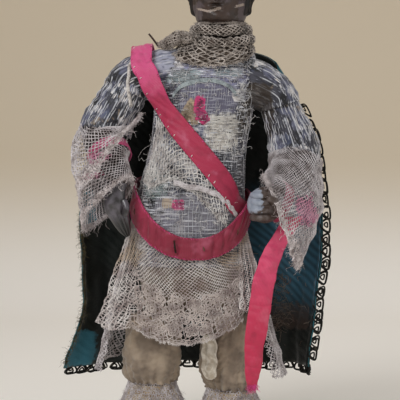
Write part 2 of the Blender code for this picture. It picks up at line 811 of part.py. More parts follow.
def cuff_shell(name, start_ring, rim_centre, half, depth, slope, body):
    """A flared cuff from the end of a sleeve to a sloping rim, open at both ends."""
    angle = circle_angles(cuff_sides)
    along_slope = np.array((math.cos(slope), 0, math.sin(slope)))
    across = np.array((0, 1.0, 0))
    long_way, short_way = superellipse(angle)
    rim = np.array(rim_centre) + half * long_way[:, None] * along_slope + depth * short_way[:, None] * across
    start = start_ring(angle, along_slope, across)
    rows = []
    for share in np.linspace(0, 1, cuff_rows):
        ease = share**0.8
        rows.append(start * (1 - ease) + rim * ease)
    outer = np.array(rows)
    round_it = np.roll(outer, -1, axis=1) - np.roll(outer, 1, axis=1)
    normals = unit(np.cross(round_it, np.gradient(outer, axis=0)))
    middle = outer.mean(axis=1, keepdims=True)
    if np.sum(normals * (outer - middle)) < 0:
        normals = -normals
    inner = outer - normals * cuff_wall
    rings = np.concatenate([outer, inner[::-1]])
    return loft(name, rings, body, (0.60, 0.55, 0.47), 0.95, wrap=True)


def ring_across(centre, tangent, radius):
    """A round ring square to the arm, whose angles start along a given slope."""

    def points(angle, along_slope, across):
        first = unit(along_slope - tangent * np.dot(along_slope, tangent))
        second = np.cross(tangent, first)
        if np.dot(second, across) < 0:
            second = -second
        return centre + radius * (np.cos(angle)[:, None] * first + np.sin(angle)[:, None] * second)

    return points


def make_arm(side_name, body, shoulder, elbow, wrist, shoulder_radius, sleeve_share):
    path = arm_path(shoulder, elbow, wrist)
    radii = arm_radii(shoulder_radius, len(path))
    inset = sleeve_wall + gap
    last = int(round(sleeve_share * (len(path) - 1)))
    core = loft(side_name + "_arm_core", domed(path, radii, inset, len(path)), body, (0.55, 0.48, 0.38), 0.95)
    outer = domed(path, radii, 0.0, last + 1)
    inner = domed(path, radii, sleeve_wall, last + 1)
    sleeve = loft(side_name + "_sleeve", np.concatenate([outer, inner[::-1]]), body, (0.50, 0.51, 0.54), 0.8)
    side = -1 if side_name == "right" else 1
    start, end = shoulder_dowel_ends(side, shoulder)
    for piece in (core, sleeve):
        bore(piece, start, end + Vector((side * seat_gap, 0, 0)), shoulder_dowel_radius + seat_gap)
    tangents = unit(np.gradient(path, axis=0))
    return path, radii, tangents, last


def make_right_arm(body):
    path, radii, tangents, last = make_arm(
        "right", body, right_shoulder, right_elbow, right_wrist, right_shoulder_radius, right_sleeve_share
    )
    start = ring_across(path[last] + tangents[last] * (gap + cuff_wall / 2), tangents[last], radii[last])
    cuff_shell(
        "right_cuff", start, right_cuff_rim, right_cuff_half, right_cuff_depth, right_cuff_slope_angle, body
    )
    low = last + 3
    start = ring_across(path[low], tangents[low], radii[low])
    cuff_shell(
        "right_inner_cuff",
        start,
        right_inner_rim,
        right_inner_half,
        right_inner_depth,
        right_inner_slope_angle,
        body,
    )
    end_drop = (wrist_radius - sleeve_wall - gap) * math.sqrt(1 - tangents[-1][2] ** 2) + seat_gap
    hand_path = smooth_path(
        (
            right_wrist + Vector((0, 0, -end_drop)),
            right_wrist + hand_middle_shift - Vector((0, 0, hand_length * hand_middle_share)),
            right_wrist + hand_tip_shift - Vector((0, 0, hand_length)),
        ),
        9,
    )
    width, depth = along(hand_shares, np.linspace(0, 1, len(hand_path)))
    angle = circle_angles(hand_sides)
    wide = hand_half_width * width[:, None] * np.cos(angle)
    deep = hand_half_depth * depth[:, None] * np.sin(angle)
    rings = hand_path[:, None] + np.stack([wide, deep, np.zeros(wide.shape)], axis=2)
    loft("right_hand", rings, body, (0.12, 0.10, 0.11), 0.5)
    return path[low], tangents[low], radii[low - 1] - sleeve_wall + gap / 2


def make_left_arm(body):
    path, radii, tangents, last = make_arm(
        "left", body, left_shoulder, left_elbow, left_wrist, left_shoulder_radius, left_sleeve_share
    )
    start = ring_across(path[last] + tangents[last] * (gap + cuff_wall / 2), tangents[last], radii[last])
    cuff_shell(
        "left_cuff", start, left_cuff_rim, left_cuff_half, left_cuff_depth, left_cuff_slope_angle, body
    )
    share = np.linspace(-1, 1, 11)
    direction = unit(np.array(fist_centre) - path[-1])
    start_radius = wrist_radius * fist_neck_share
    tilt = math.sqrt(1 - np.dot(direction, tangents[-1]) ** 2)
    end_reach = (wrist_radius - sleeve_wall - gap) * tilt
    near = np.linalg.norm(np.array(fist_centre) - path[-1]) - seat_gap - end_reach
    offsets = np.where(share < 0, share * near, share * fist_radius)
    centres = np.array(fist_centre) + direction * offsets[:, None]
    round_radii = fist_radius * np.sqrt(np.maximum(1 - share**2, 0))
    fist_radii = np.maximum(round_radii, np.where(share < 0, start_radius, fist_radius * fist_end_share))
    rings = rings_along(centres, fist_radii, arm_sides)
    middle = centres[:, None]
    rings = middle + (rings - middle) * np.array((1.0, 1 / fist_stretch_share, fist_stretch_share))
    loft("left_hand", rings, body, (0.13, 0.11, 0.12), 0.5)
    return path[-2], tangents[-2], radii[-3] - sleeve_wall


# Legs


def make_leg(side_name, figure, x, breeches_radius):
    hip = np.array((x, leg_y, hip_seat))
    knee = np.array((x, leg_y, knee_height))
    share = np.linspace(0, 1, 5)
    path = hip + (knee - hip) * share[:, None]
    knee_radius = thigh_radius * thigh_knee_share
    swell = thigh_radius + (knee_radius - thigh_radius) * share**2
    thigh = rings_along(path, swell, arm_sides)
    loft(side_name + "_thigh", thigh, figure, (0.55, 0.48, 0.38), 0.95)

    share = np.linspace(0, 1, 9)
    heights = breeches_bottom + (breeches_top - breeches_bottom) * share
    outer_share = along(breeches_shares, share)[0]
    angle = circle_angles(leg_sides)
    around = np.stack([np.cos(angle), np.sin(angle), np.zeros(leg_sides)], axis=1)
    pleat = breeches_fold * np.cos(breeches_folds * angle)
    bulge = breeches_radius * outer_share[:, None] + pleat * np.abs(2 * share - 1)[:, None]
    spot = np.array((x, leg_y, 0))
    outer = spot + around * bulge[:, :, None]
    outer[:, :, 2] = heights[:, None]
    ends = np.array((breeches_top, breeches_bottom))
    inner = spot + np.stack([around, around]) * (thigh_radius + gap)
    inner[:, :, 2] = ends[:, None]
    rings = np.concatenate([outer, inner])
    loft(side_name + "_breeches", rings, figure, (0.66, 0.60, 0.49), 0.85, wrap=True)

    top = breeches_bottom - gap
    share = np.linspace(0, 1, 4)
    radius = knee_ruffle_radius + knee_ruffle_flare * share[:, None] ** 1.3
    radius = radius + fold_depth * share[:, None] * np.cos(ruffle_folds * angle)
    outer = spot + around * radius[:, :, None]
    outer[:, :, 2] = top - knee_ruffle_height * share[:, None]
    inner = outer - around * knee_ruffle_wall
    rings = np.concatenate([outer, inner[::-1]])
    loft(side_name + "_knee_ruffle", rings, figure, (0.60, 0.56, 0.48), 0.95, wrap=True)

    shin_bottom = sole_thickness + seat_gap + shoe_ankle_height - shin_in_shoe
    share = np.linspace(0, 1, 4)
    below = knee - (0, 0, seat_gap)
    path = below + share[:, None] * np.array((0, 0, shin_bottom - below[2]))
    shin = rings_along(path, shin_radius + (ankle_radius - shin_radius) * share**1.5, hand_sides)
    loft(side_name + "_shin", shin, figure, (0.10, 0.07, 0.06), 0.5)

    make_shoe(side_name, figure, x)


def shoe_outline(share, edge):
    """Half width of the shoe from heel to toe, with an edge added."""
    return shoe_half_width * along(shoe_width_shares, share)[0] + edge


def make_shoe(side_name, figure, x):
    share = np.linspace(0, 1, 11)
    y = shoe_heel_y - shoe_length * share
    half = shoe_outline(share, 0)
    tall = shoe_ankle_height * along(shoe_height_shares, share)[0]
    floor_height = sole_thickness + seat_gap
    angle = np.linspace(0, math.pi, 9)
    wide = x + half[:, None] * np.cos(angle)
    high = floor_height + tall[:, None] * np.sin(angle) ** 0.8
    rings = np.stack(np.broadcast_arrays(wide, y[:, None], high), axis=2)
    shoe = loft(side_name + "_shoe", rings, figure, (0.10, 0.08, 0.07), 0.5)
    seat = floor_height + shoe_ankle_height - shin_in_shoe - seat_gap
    bore(shoe, (x, leg_y, seat), (x, leg_y, knee_height), ankle_radius + 2 * seat_gap)

    share = np.linspace(0, 1, 13)
    y = shoe_heel_y + sole_edge - (shoe_length + 2 * sole_edge) * share
    half = shoe_outline(share, sole_edge)
    outline = np.concatenate([np.stack([x + half, y], axis=1), np.stack([x - half, y], axis=1)[::-1]])
    rings = [
        np.column_stack([outline, np.full(len(outline), height)]) for height in (0.0, sole_thickness)
    ]
    loft(side_name + "_sole", rings, figure, (0.08, 0.06, 0.05), 0.6)


def make_breeches_tab(figure):
    """The pale tab on the inner front of the left breeches leg."""
    share = np.linspace(0, 1, 9)
    middle = (breeches_bottom + breeches_top) / 2
    heights = middle + tab_height * (share - 0.5)
    place = along(breeches_shares, (heights - breeches_bottom) / (breeches_top - breeches_bottom))[0]
    crease = breeches_fold * np.abs(2 * (heights - breeches_bottom) / (breeches_top - breeches_bottom) - 1)
    reach = left_breeches_radius * place + crease + gap
    angle = tab_angle + tab_width / 2 / left_breeches_radius * np.linspace(-1, 1, 5)
    skins = []
    for thickness in (tab_thickness, 0):
        radius = reach[:, None] + thickness
        x = left_leg_x + radius * np.cos(angle)
        y = leg_y + radius * np.sin(angle)
        skins.append(np.stack(np.broadcast_arrays(x, y, heights[:, None]), axis=2))
    slab("breeches_tab", *skins, figure, (0.80, 0.77, 0.68), 0.8)


# Cape


def cape_seat():
    """How far back the middle of the cape's top edge lies, where it rests against the collar."""
    height = torso_top - cape_top_drop
    collar = on_torso(math.pi / 2, height, gap + collar_crown_share * collar_thickness)
    return collar[1] + seat_gap + cape_wall + gap / 2


def cape_grid(lift):
    """The cape's surface at a lift, from its edge at the doll's right round the back to its left one."""
    across = np.linspace(math.pi, 0, cape_columns)[None, :]
    fall = np.linspace(0, 1, cape_rows)[:, None]
    wide, deep = along(cape_shares, fall[:, 0])
    wide, deep = wide[:, None], deep[:, None]
    half = cape_top_half_width + (cape_hem_half_width - cape_top_half_width) * wide
    centre = neck_x * cape_lean_share * (1 - wide)
    edge = cape_shoulder_y + (cape_edge_y - cape_shoulder_y) * wide
    seat = cape_seat()
    back = seat + (cape_hem_back - seat) * deep
    x = centre + half * np.sign(np.cos(across)) * np.abs(np.cos(across)) ** 0.9
    arch = np.sin(across) ** 0.75
    y = edge + (back - edge) * arch
    top = torso_top - cape_top_drop - cape_shoulder_drop * (1 - arch)
    z = top + (cape_hem_height - top) * fall
    wave = cape_fold_depth * np.cos(2 * cape_folds * across) * fall**0.7 * np.sin(across) ** 0.5
    y = y + wave * np.sin(across)
    x = x + wave * np.cos(across)
    corner = np.exp(-(((across - math.pi) / cape_corner_spread_angle) ** 2))
    corner = corner * np.exp(-(((fall - cape_corner_share) / cape_corner_rise_share) ** 2))
    x = x - cape_corner_flare * corner
    y = y - cape_corner_forward * corner
    grid = np.stack(np.broadcast_arrays(x, y, z), axis=-1)
    return grid + grid_normals(grid) * cape_side(grid) * lift


def cape_side(grid):
    """Plus or minus one, so that a positive lift is outwards, to the back."""
    normals = grid_normals(grid)
    return 1.0 if normals[..., 1].sum() > 0 else -1.0


def make_cape(figure):
    apart = (cape_wall + gap) / 2
    sheet("cape_outer", cape_grid(apart), cape_wall, figure, (0.02, 0.13, 0.16), 0.5)
    sheet("cape_lining", cape_grid(-apart), cape_wall, figure, (0.03, 0.04, 0.04), 0.8)
    grid = cape_grid(0)
    reach = trim_radius + gap + seat_gap
    first = int(cape_rows * trim_start_share)
    edge = grid[first:, -1] + unit(grid[first:, -1] - grid[first:, -2]) * reach
    low = unit(grid[-1] - grid[-2])
    hem = grid[-1] + low * reach
    corner = grid[-1, -1] + unit(unit(grid[-1, -1] - grid[-1, -2]) + low[-1]) * reach * math.sqrt(2)
    path = np.vstack([edge[:-1], corner, hem[-2:0:-1]])
    rings = rings_along(path, trim_radius, 6)
    loft("cape_trim", rings, figure, (0.03, 0.03, 0.03), 0.8)


# Wrist ribbons and streamer


def wrist_ribbon(name, body, centre, tangent, radius, fall, colour):
    """A ribbon loop round a wrist, whose lower half hangs by a fall. Gives the place of its lowest point."""
    width = ribbon_width * wrist_ribbon_share
    side = unit(np.cross(tangent, (0, 0, 1.0)))
    up = np.cross(side, tangent)
    rings = []
    for a in circle_angles(20):
        spot = side * math.cos(a) + up * math.sin(a)
        base = centre + spot * radius + np.array(fall) * max(-math.sin(a), 0)
        rings.append(
            [
                base - tangent * width / 2 + spot * silk_wall,
                base + tangent * width / 2 + spot * silk_wall,
                base + tangent * width / 2,
                base - tangent * width / 2,
            ]
        )
    loft(name, rings, body, colour, 0.45, wrap=True)
    corners = np.array(rings).reshape(-1, 3)
    return corners[corners[:, 2].argmin()]


def make_wrist_ribbons(right, left, right_arm, left_arm):
    """Each wrist's ribbon goes round the arm, square to a direction. Gives the streamer's place."""
    pink = (0.62, 0.05, 0.14)
    place, direction, radius = right
    centre = place - direction * (ribbon_width * wrist_ribbon_share / 2 + 2 * gap)
    wrist_ribbon("right_wrist_ribbon", right_arm, centre, direction, radius, (0, 0, 0), pink)
    place, direction, radius = left
    lowest = wrist_ribbon("left_wrist_ribbon", left_arm, place, direction, radius, wrist_loop_fall, pink)
    return Vector(lowest) - Vector((0, 0, seat_gap))


def make_streamer(streamer, hang):
    share = np.linspace(0, 1, 13)
    side, forward, half = along(streamer_shares, share)
    middle = np.stack(
        [
            hang.x + side * streamer_length,
            hang.y - forward * streamer_length,
            hang.z - share * streamer_length,
        ],
        axis=1,
    )
    across = np.array((-1.0, -0.4, 0.3, 1.0))
    turn = np.array((1, streamer_turn_share, 0))
    grid = middle[:, None] + (half * ribbon_width)[:, None, None] * across[None, :, None] * turn
    sheet("streamer", grid, silk_wall, streamer, (0.66, 0.06, 0.16), 0.45)


def centre_on_floor(root):
    """Moves the whole doll so that the middle of its box stands on the origin."""
    bpy.context.view_layer.update()
    graph = bpy.context.evaluated_depsgraph_get()
    corners = []
    for obj in bpy.data.objects:
        if obj.type == "MESH" and not obj.hide_render:
            evaluated = obj.evaluated_get(graph)
            corners += [evaluated.matrix_world @ v.co for v in evaluated.data.vertices]
    low = [min(c[i] for c in corners) for i in range(3)]
    high = [max(c[i] for c in corners) for i in range(3)]
    root.location = Vector((-(low[0] + high[0]) / 2, -(low[1] + high[1]) / 2, -low[2]))
    bpy.context.view_layer.update()
    print("root shift", tuple(round(v, 6) for v in root.location))
    for name in bodies:
        place = bpy.data.objects[name].matrix_world.translation
        print("body", name, tuple(round(v, 6) for v in place))


def main():
    clear_scene()
    figure = make_body("figure", (0, 0, 0))
    head = make_body("head_axis", (neck_x, 0, torso_top), figure)
    right_arm = make_body("right_arm_axis", right_shoulder, figure)
    left_arm = make_body("left_arm_axis", left_shoulder, figure)
    make_torso(figure)
    make_tunic(figure)
    make_chest_lace(figure)
    make_sash_and_belt(figure)
    make_shoulder_pin(figure)
    make_hangings(figure)
    make_collar(figure)
    make_head(head)
    right = make_right_arm(right_arm)
    left = make_left_arm(left_arm)
    for side, shoulder, name in ((-1, right_shoulder, "right"), (1, left_shoulder, "left")):
        start, end = shoulder_dowel_ends(side, shoulder)
        rod(name + "_shoulder_dowel", start, end, shoulder_dowel_radius, figure, (0.50, 0.34, 0.20))
    hang = make_wrist_ribbons(right, left, right_arm, left_arm)
    make_streamer(make_body("streamer_axis", hang, left_arm), hang)
    make_leg("right", figure, right_leg_x, right_breeches_radius)
    make_leg("left", figure, left_leg_x, left_breeches_radius)
    make_breeches_tab(figure)
    make_cape(figure)
    centre_on_floor(figure)


main()
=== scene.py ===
# The looks of a costumed doll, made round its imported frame: brocade, net and floral lace, silk ribbon
# and a lined cape. Metres, +Z up, and the doll faces -Y, so its own right side lies at -X.
import json
import math

import bpy
import numpy as np
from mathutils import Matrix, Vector


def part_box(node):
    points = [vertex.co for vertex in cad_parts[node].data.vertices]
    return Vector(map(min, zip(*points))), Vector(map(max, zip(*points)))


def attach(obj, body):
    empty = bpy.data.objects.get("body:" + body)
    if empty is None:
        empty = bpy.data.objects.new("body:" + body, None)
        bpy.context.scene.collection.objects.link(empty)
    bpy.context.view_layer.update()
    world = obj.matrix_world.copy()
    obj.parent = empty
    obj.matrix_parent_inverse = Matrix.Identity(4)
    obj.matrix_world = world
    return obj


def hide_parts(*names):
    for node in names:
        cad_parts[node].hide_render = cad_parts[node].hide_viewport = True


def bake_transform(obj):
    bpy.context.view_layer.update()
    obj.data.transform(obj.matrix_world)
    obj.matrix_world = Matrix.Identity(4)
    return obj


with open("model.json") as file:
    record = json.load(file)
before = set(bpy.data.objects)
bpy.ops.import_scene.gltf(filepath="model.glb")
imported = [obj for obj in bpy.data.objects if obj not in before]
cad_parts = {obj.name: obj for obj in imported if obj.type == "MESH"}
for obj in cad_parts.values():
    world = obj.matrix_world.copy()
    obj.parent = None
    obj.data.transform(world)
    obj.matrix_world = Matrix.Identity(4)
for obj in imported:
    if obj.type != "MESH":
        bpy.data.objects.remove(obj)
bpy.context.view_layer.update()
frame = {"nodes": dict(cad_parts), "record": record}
turn = 2 * math.pi


def tone(red, green, blue):  # a colour as the eye reads it, from 0 to 1, made linear
    return tuple(((c + 0.055) / 1.055) ** 2.4 if c > 0.04 else c / 12.92 for c in (red, green, blue)) + (1.0,)


def unit(vectors):
    return vectors / np.maximum(np.linalg.norm(vectors, axis=-1, keepdims=True), 1e-12)


def point(*values):
    return np.array(values, float)


def along(rows, places):
    # a smooth curve through rows of a place and its values, which never overshoots a row
    rows = np.asarray(rows, float)
    x = rows[:, 0]
    places = np.clip(np.asarray(places, float), x[0], x[-1])
    step = np.diff(x)
    i = np.clip(np.searchsorted(x, places, side="right") - 1, 0, len(x) - 2)
    t = (places - x[i]) / step[i]
    found = []
    for column in rows[:, 1:].T:
        slope = np.diff(column) / step
        same = slope[:-1] * slope[1:] > 0
        tangent = np.concatenate([slope[:1], np.zeros(len(x) - 2), slope[-1:]])
        tangent[1:-1][same] = (2 * slope[:-1] * slope[1:] / np.where(same, slope[:-1] + slope[1:], 1))[same]
        found.append(
            (2 * t**3 - 3 * t**2 + 1) * column[i] + (t**3 - 2 * t**2 + t) * step[i] * tangent[i]
            + (3 * t**2 - 2 * t**3) * column[i + 1] + (t**3 - t**2) * step[i] * tangent[i + 1]
        )
    return found


def ripple(points, size, seed, count=9):
    # a smooth random height of about -1 to 1: waves some size metres long, in random directions
    random = np.random.default_rng(seed)
    ways = unit(random.normal(size=(count, points.shape[-1]))) * random.uniform(0.6, 1.5, (count, 1))
    phases = random.uniform(0, turn, count)
    return np.sin(points @ ways.T * turn / size + phases).sum(axis=-1) / math.sqrt(count)


def ease(low, high, values):
    t = np.clip((values - low) / (high - low), 0, 1)
    return t * t * (3 - 2 * t)


def smoothPath(places, count):
    # a curve through a few places, read at even steps
    places = np.array([tuple(p) for p in places])
    reach = np.concatenate([[0], np.cumsum(np.linalg.norm(np.diff(places, axis=0), axis=1))])
    padded = np.vstack([2 * places[0] - places[1], places, 2 * places[-1] - places[-2]])
    spots = np.linspace(0, reach[-1], count)
    i = np.clip(np.searchsorted(reach, spots, side="right") - 1, 0, len(places) - 2)
    t = ((spots - reach[i]) / (reach[i + 1] - reach[i]))[:, None]
    a, b, c, d = (padded[i + k] for k in range(4))
    return 0.5 * (2 * b + (c - a) * t + (2 * a - 5 * b + 4 * c - d) * t**2 + (3 * b - a - 3 * c + d) * t**3)


def pathFrames(path, start=(0.0, 1.0, 0.0)):
    # two directions square to a path at each of its points, carried along without twist
    tangents = unit(np.gradient(path, axis=0))
    side, sides = np.array(start, float), []
    for tangent in tangents:
        side = unit(side - tangent * side.dot(tangent))
        sides.append(side)
    sides = np.array(sides)
    return sides, np.cross(tangents, sides), tangents


# Meshes


def clothSize(cloth):
    # the flat width and length of a cloth: the mean lengths of its rows and of its columns
    steps = [np.linalg.norm(np.diff(cloth.points, axis=k), axis=2).sum(axis=k).mean() for k in (1, 0)]
    return tuple(round(float(s), 4) for s in steps)


class Cloth:
    # a surface held as a grid of points, rows down and columns across; the last column of one that
    # wraps repeats its first. Its normals point away from a place, by default its own middle.
    def __init__(self, points, wraps=False, away=None):
        self.points, self.wraps, self.away = points, wraps, away
        if wraps:
            ring = points[:, :-1]
            across = np.roll(ring, -1, axis=1) - np.roll(ring, 1, axis=1)
            across = np.concatenate([across, across[:, :1]], axis=1)
        else:
            across = np.gradient(points, axis=1)
        normals = unit(np.cross(across, np.gradient(points, axis=0)))
        middle = points.mean(axis=(0, 1)) if away is None else away
        self.sign = 1 if (normals * (points - middle)).sum() > 0 else -1
        self.normals = normals * self.sign

    def spot(self, u, v, lift=0.0):
        # the place at shares u across and v down, lift metres off the surface
        rows, columns = self.points.shape[:2]
        u = u % 1 if self.wraps else u
        i = np.clip((v * (rows - 1)).astype(int), 0, rows - 2)
        j = np.clip((u * (columns - 1)).astype(int), 0, columns - 2)
        s, t = (u * (columns - 1) - j)[..., None], (v * (rows - 1) - i)[..., None]

        def read(grid):
            top = grid[i, j] * (1 - s) + grid[i, j + 1] * s
            return top * (1 - t) + (grid[i + 1, j] * (1 - s) + grid[i + 1, j + 1] * s) * t

        return read(self.points) + read(self.normals) * np.asarray(lift)[..., None]


def cornersOf(rows, columns, ring, base):
    # the four corners of each cell of a grid, as rows, columns and point numbers
    i, j = np.meshgrid(np.arange(rows - 1), np.arange(columns - 1), indexing="ij")
    i, j = i.ravel(), j.ravel()
    ci = np.stack([i, i, i + 1, i + 1], axis=1)
    cj = np.stack([j, j + 1, j + 1, j], axis=1)
    wide = columns - 1 if ring else columns
    return ci, cj, base + ci * wide + cj % wide


def clothMesh(cloth, thickness, width, length):
    # two layers half the thickness to each side of the surface, joined by a rim
    rows, columns = cloth.points.shape[:2]
    last = -1 if cloth.wraps else columns
    half = cloth.normals * thickness / 2
    layers = [(cloth.points + half)[:, :last], (cloth.points - half)[:, :last]]
    size = layers[0].shape[0] * layers[0].shape[1]
    ci, cj, front = cornersOf(rows, columns, cloth.wraps, 0)
    faces, ui, vi, side = [front, front[:, ::-1] + size], [cj, cj[:, ::-1]], [ci, ci[:, ::-1]], [0, 1]
    wide = columns - 1 if cloth.wraps else columns
    j, i = np.arange(columns - 1), np.arange(rows - 1)
    rims = [(0 * j, j + 1, 0 * j, j), (0 * j + rows - 1, j, 0 * j + rows - 1, j + 1)]
    if not cloth.wraps:
        rims += [(i, 0 * i, i + 1, 0 * i), (i + 1, 0 * i + columns - 1, i, 0 * i + columns - 1)]
    for ai, aj, bi, bj in rims:
        a, b = ai * wide + aj % wide, bi * wide + bj % wide
        faces.append(np.stack([a, b, b + size, a + size], axis=1))
        ui.append(np.stack([aj, bj, bj, aj], axis=1))
        vi.append(np.stack([ai, bi, bi, ai], axis=1))
        side.append(0)
    bakes, weaves = [], []
    for u, v, layer in zip(ui, vi, side):
        u, v = u / (columns - 1), v / (rows - 1)
        weaves.append(np.stack([u * width, v * length], axis=2).reshape(-1, 2))
        bakes.append(np.stack([0.01 + 0.48 * u + 0.5 * layer, 0.01 + 0.98 * v], axis=2).reshape(-1, 2))
    if cloth.sign < 0:
        faces = [f[:, ::-1] for f in faces]
        weaves = [w.reshape(-1, 4, 2)[:, ::-1].reshape(-1, 2) for w in weaves]
        bakes = [b.reshape(-1, 4, 2)[:, ::-1].reshape(-1, 2) for b in bakes]
    points = np.vstack([layer.reshape(-1, 3) for layer in layers])
    return points, faces, np.vstack(weaves), np.vstack(bakes)


def loftMesh(rings, around, down):
    # a closed skin through rings of points, with a fan at each end; around and down are its lengths
    count, sides = rings.shape[:2]
    ci, cj, faces = cornersOf(count, sides + 1, True, 0)
    lengths = np.concatenate([[0], np.cumsum(np.linalg.norm(np.diff(rings, axis=0), axis=2).mean(axis=1))])
    lengths = lengths / max(lengths[-1], 1e-9) * down
    weave = np.stack([cj / sides * around, lengths[ci]], axis=2).reshape(-1, 2)
    j = np.arange(sides)
    k = (j + 1) % sides
    base = count * sides
    low = np.stack([k, j, 0 * j + base], axis=1)
    high = np.stack([(count - 1) * sides + j, (count - 1) * sides + k, 0 * j + base + 1], axis=1)
    caps = np.concatenate([
        np.stack([(j + 1) / sides, j / sides, (j + 0.5) / sides], axis=1),
        np.stack([j / sides, (j + 1) / sides, (j + 0.5) / sides], axis=1),
    ])
    capDown = np.concatenate([np.zeros((sides, 3)), np.full((sides, 3), down)])
    weave = np.vstack([weave, np.stack([caps * around, capDown], axis=2).reshape(-1, 2)])
    points = np.vstack([rings.reshape(-1, 3), rings[0].mean(axis=0), rings[-1].mean(axis=0)])
    groups = [faces, low, high]
    quads = points[faces]
    volume = np.einsum("ij,ij->i", quads[:, 0], np.cross(quads[:, 1], quads[:, 2])).sum()
    volume += np.einsum("ij,ij->i", quads[:, 0], np.cross(quads[:, 2], quads[:, 3])).sum()
    if volume < 0:
        weave = np.vstack([weave[: len(faces) * 4].reshape(-1, 4, 2)[:, ::-1].reshape(-1, 2),
                           weave[len(faces) * 4 :].reshape(-1, 3, 2)[:, ::-1].reshape(-1, 2)])
        groups = [g[:, ::-1] for g in groups]
    return points, groups, weave


def threads(paths, radius, sides=3, up=(0.0, 0.0, 1.0)):
    # closed tubes along paths of one length each, (number, points, 3), with the sides square to up
    paths = np.asarray(paths, float)
    count, steps = paths.shape[:2]
    tangents = unit(np.gradient(paths, axis=1))
    upward = np.broadcast_to(np.asarray(up, float), paths.shape)
    across = unit(np.cross(tangents, upward))
    upward = np.cross(across, tangents)
    angle = np.arange(sides) * turn / sides + math.pi / 2
    radius = np.broadcast_to(np.asarray(radius, float), (count, steps))[..., None, None]
    spokes = across[:, :, None] * np.cos(angle)[:, None] + upward[:, :, None] * np.sin(angle)[:, None]
    points = (paths[:, :, None] + spokes * radius).reshape(-1, 3)
    index = np.arange(count * steps * sides).reshape(count, steps, sides)
    near, far = index[:, :-1], index[:, 1:]
    faces = np.stack([near, far, np.roll(far, -1, axis=2), np.roll(near, -1, axis=2)], axis=3).reshape(-1, 4)
    caps = np.concatenate([index[:, 0], index[:, -1, ::-1]])
    return points, faces, caps


def joined(parts):
    # several (points, faces, caps) as one
    points, quads, caps, base = [], [], {}, 0
    for p, q, c in parts:
        points.append(p)
        quads.append(q + base)
        caps.setdefault(c.shape[1], []).append(c + base)
        base += len(p)
    return np.vstack(points), [np.vstack(quads)] + [np.vstack(c) for c in caps.values()]


pieceCount = 0


def makePiece(name, points, faces, finish, body="figure", replaces=(), weave=None, bake=None, smooth=True):
    global pieceCount
    mesh = bpy.data.meshes.new(name)
    mesh.from_pydata(points.tolist(), [], [f for group in faces for f in group.tolist()])
    loops = np.concatenate([np.asarray(group).ravel() for group in faces])
    for layer, values in (("weave", weave), ("OFBake", bake)):
        if values is not None:
            values = values if len(values) == len(loops) else values[loops]
            mesh.uv_layers.new(name=layer).data.foreach_set("uv", values.astype(np.float32).ravel())
    if smooth:
        mesh.shade_smooth()
    mesh.materials.append(finish)
    piece = bpy.data.objects.new(name, mesh)
    bpy.context.scene.collection.objects.link(piece)
    if replaces:
        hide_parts(*replaces)
    if body:
        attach(piece, body)
    pieceCount += 1
    return piece


def makeLace(name, cloth, width, length, parts, finish, slot, body="figure", replaces=()):
    # threads drawn flat, in metres across, down and off the cloth, and laid on its surface
    points, faces = joined(parts)
    u, v = points[:, 0] / width, points[:, 1] / length
    placed = cloth.spot(u, v, points[:, 2])
    if cloth.sign < 0:
        faces = [f[:, ::-1] for f in faces]
    bake = np.stack([u % 1 if cloth.wraps else np.clip(u, 0, 1), np.clip(v, 0, 1)], axis=1)
    return makePiece(name, placed, faces, finish, body, replaces, bake=bake, smooth=False)


# Flat thread work


def segments(starts, ends, lift=0.0):
    # straight threads from (n, 2) starts to (n, 2) ends
    pairs = np.stack([starts, ends], axis=1)
    heights = np.broadcast_to(np.asarray(lift, float), (len(pairs),))
    heights = np.repeat(heights[:, None, None], 2, axis=1)
    return np.concatenate([pairs, heights], axis=2)


def net(width, length, pitch, radius, slant=0.0, seed=1, keep=None, jitter=0.12, stagger=False):
    # knots on a slanting lattice, each tied to the next one along and the next one down
    random = np.random.default_rng(seed)
    reach = int(math.hypot(width, length) / pitch / 1.9) + 2
    i, j = np.meshgrid(np.arange(-reach, reach + 1), np.arange(-reach, reach + 1), indexing="ij")
    step = np.where(i % 2 == 0, 0.0, 0.5) if stagger else np.zeros(i.shape)
    flat = np.stack([j + step, i * (0.85 if stagger else 1.0)], axis=2).astype(float)
    flat += random.uniform(-jitter, jitter, flat.shape)
    c, s = math.cos(slant), math.sin(slant)
    knots = flat @ np.array([[c, s], [-s, c]]) * pitch + (width / 2, length / 2)
    if stagger:
        even = (i[:-1, 1:-1] % 2 == 0)[..., None]
        pairs = [(knots[:-1, 1:-1], np.where(even, knots[1:, 1:-1], knots[1:, 2:])),
                 (knots[:-1, 1:-1], np.where(even, knots[1:, :-2], knots[1:, 1:-1]))]
    else:
        pairs = [(knots[:, :-1], knots[:, 1:]), (knots[:-1], knots[1:])]
    found = []
    for side, (a, b) in zip((0.35, -0.35), pairs):
        a, b = a.reshape(-1, 2), b.reshape(-1, 2)
        middle = (a + b) / 2
        inside = (middle[:, 0] > 0) & (middle[:, 0] < width) & (middle[:, 1] > 0) & (middle[:, 1] < length)
        if keep is not None:
            inside &= keep(middle[:, 0], middle[:, 1])
        a, b = a[inside], b[inside]
        thick = radius * random.uniform(0.8, 1.25, (len(a), 1))
        found.append(threads(segments(a, b, side * radius), thick))
    return found


def rings(centres, sizes, radius, seed=2, steps=9, wobble=0.18, lift=0.0):
    # closed wobbling loops of thread round (n, 2) centres
    random = np.random.default_rng(seed)
    angle = np.linspace(0, turn, steps + 1)
    reach = sizes[:, None] * (1 + random.uniform(-wobble, wobble, (len(centres), steps + 1)))
    reach[:, -1] = reach[:, 0]
    x = centres[:, :1] + reach * np.cos(angle)
    y = centres[:, 1:] + reach * np.sin(angle)
    z = lift + radius * random.uniform(-0.5, 0.8, x.shape)
    z[:, -1] = z[:, 0]
    return threads(np.stack([x, y, z], axis=2), radius * random.uniform(0.8, 1.2, (len(centres), 1)))


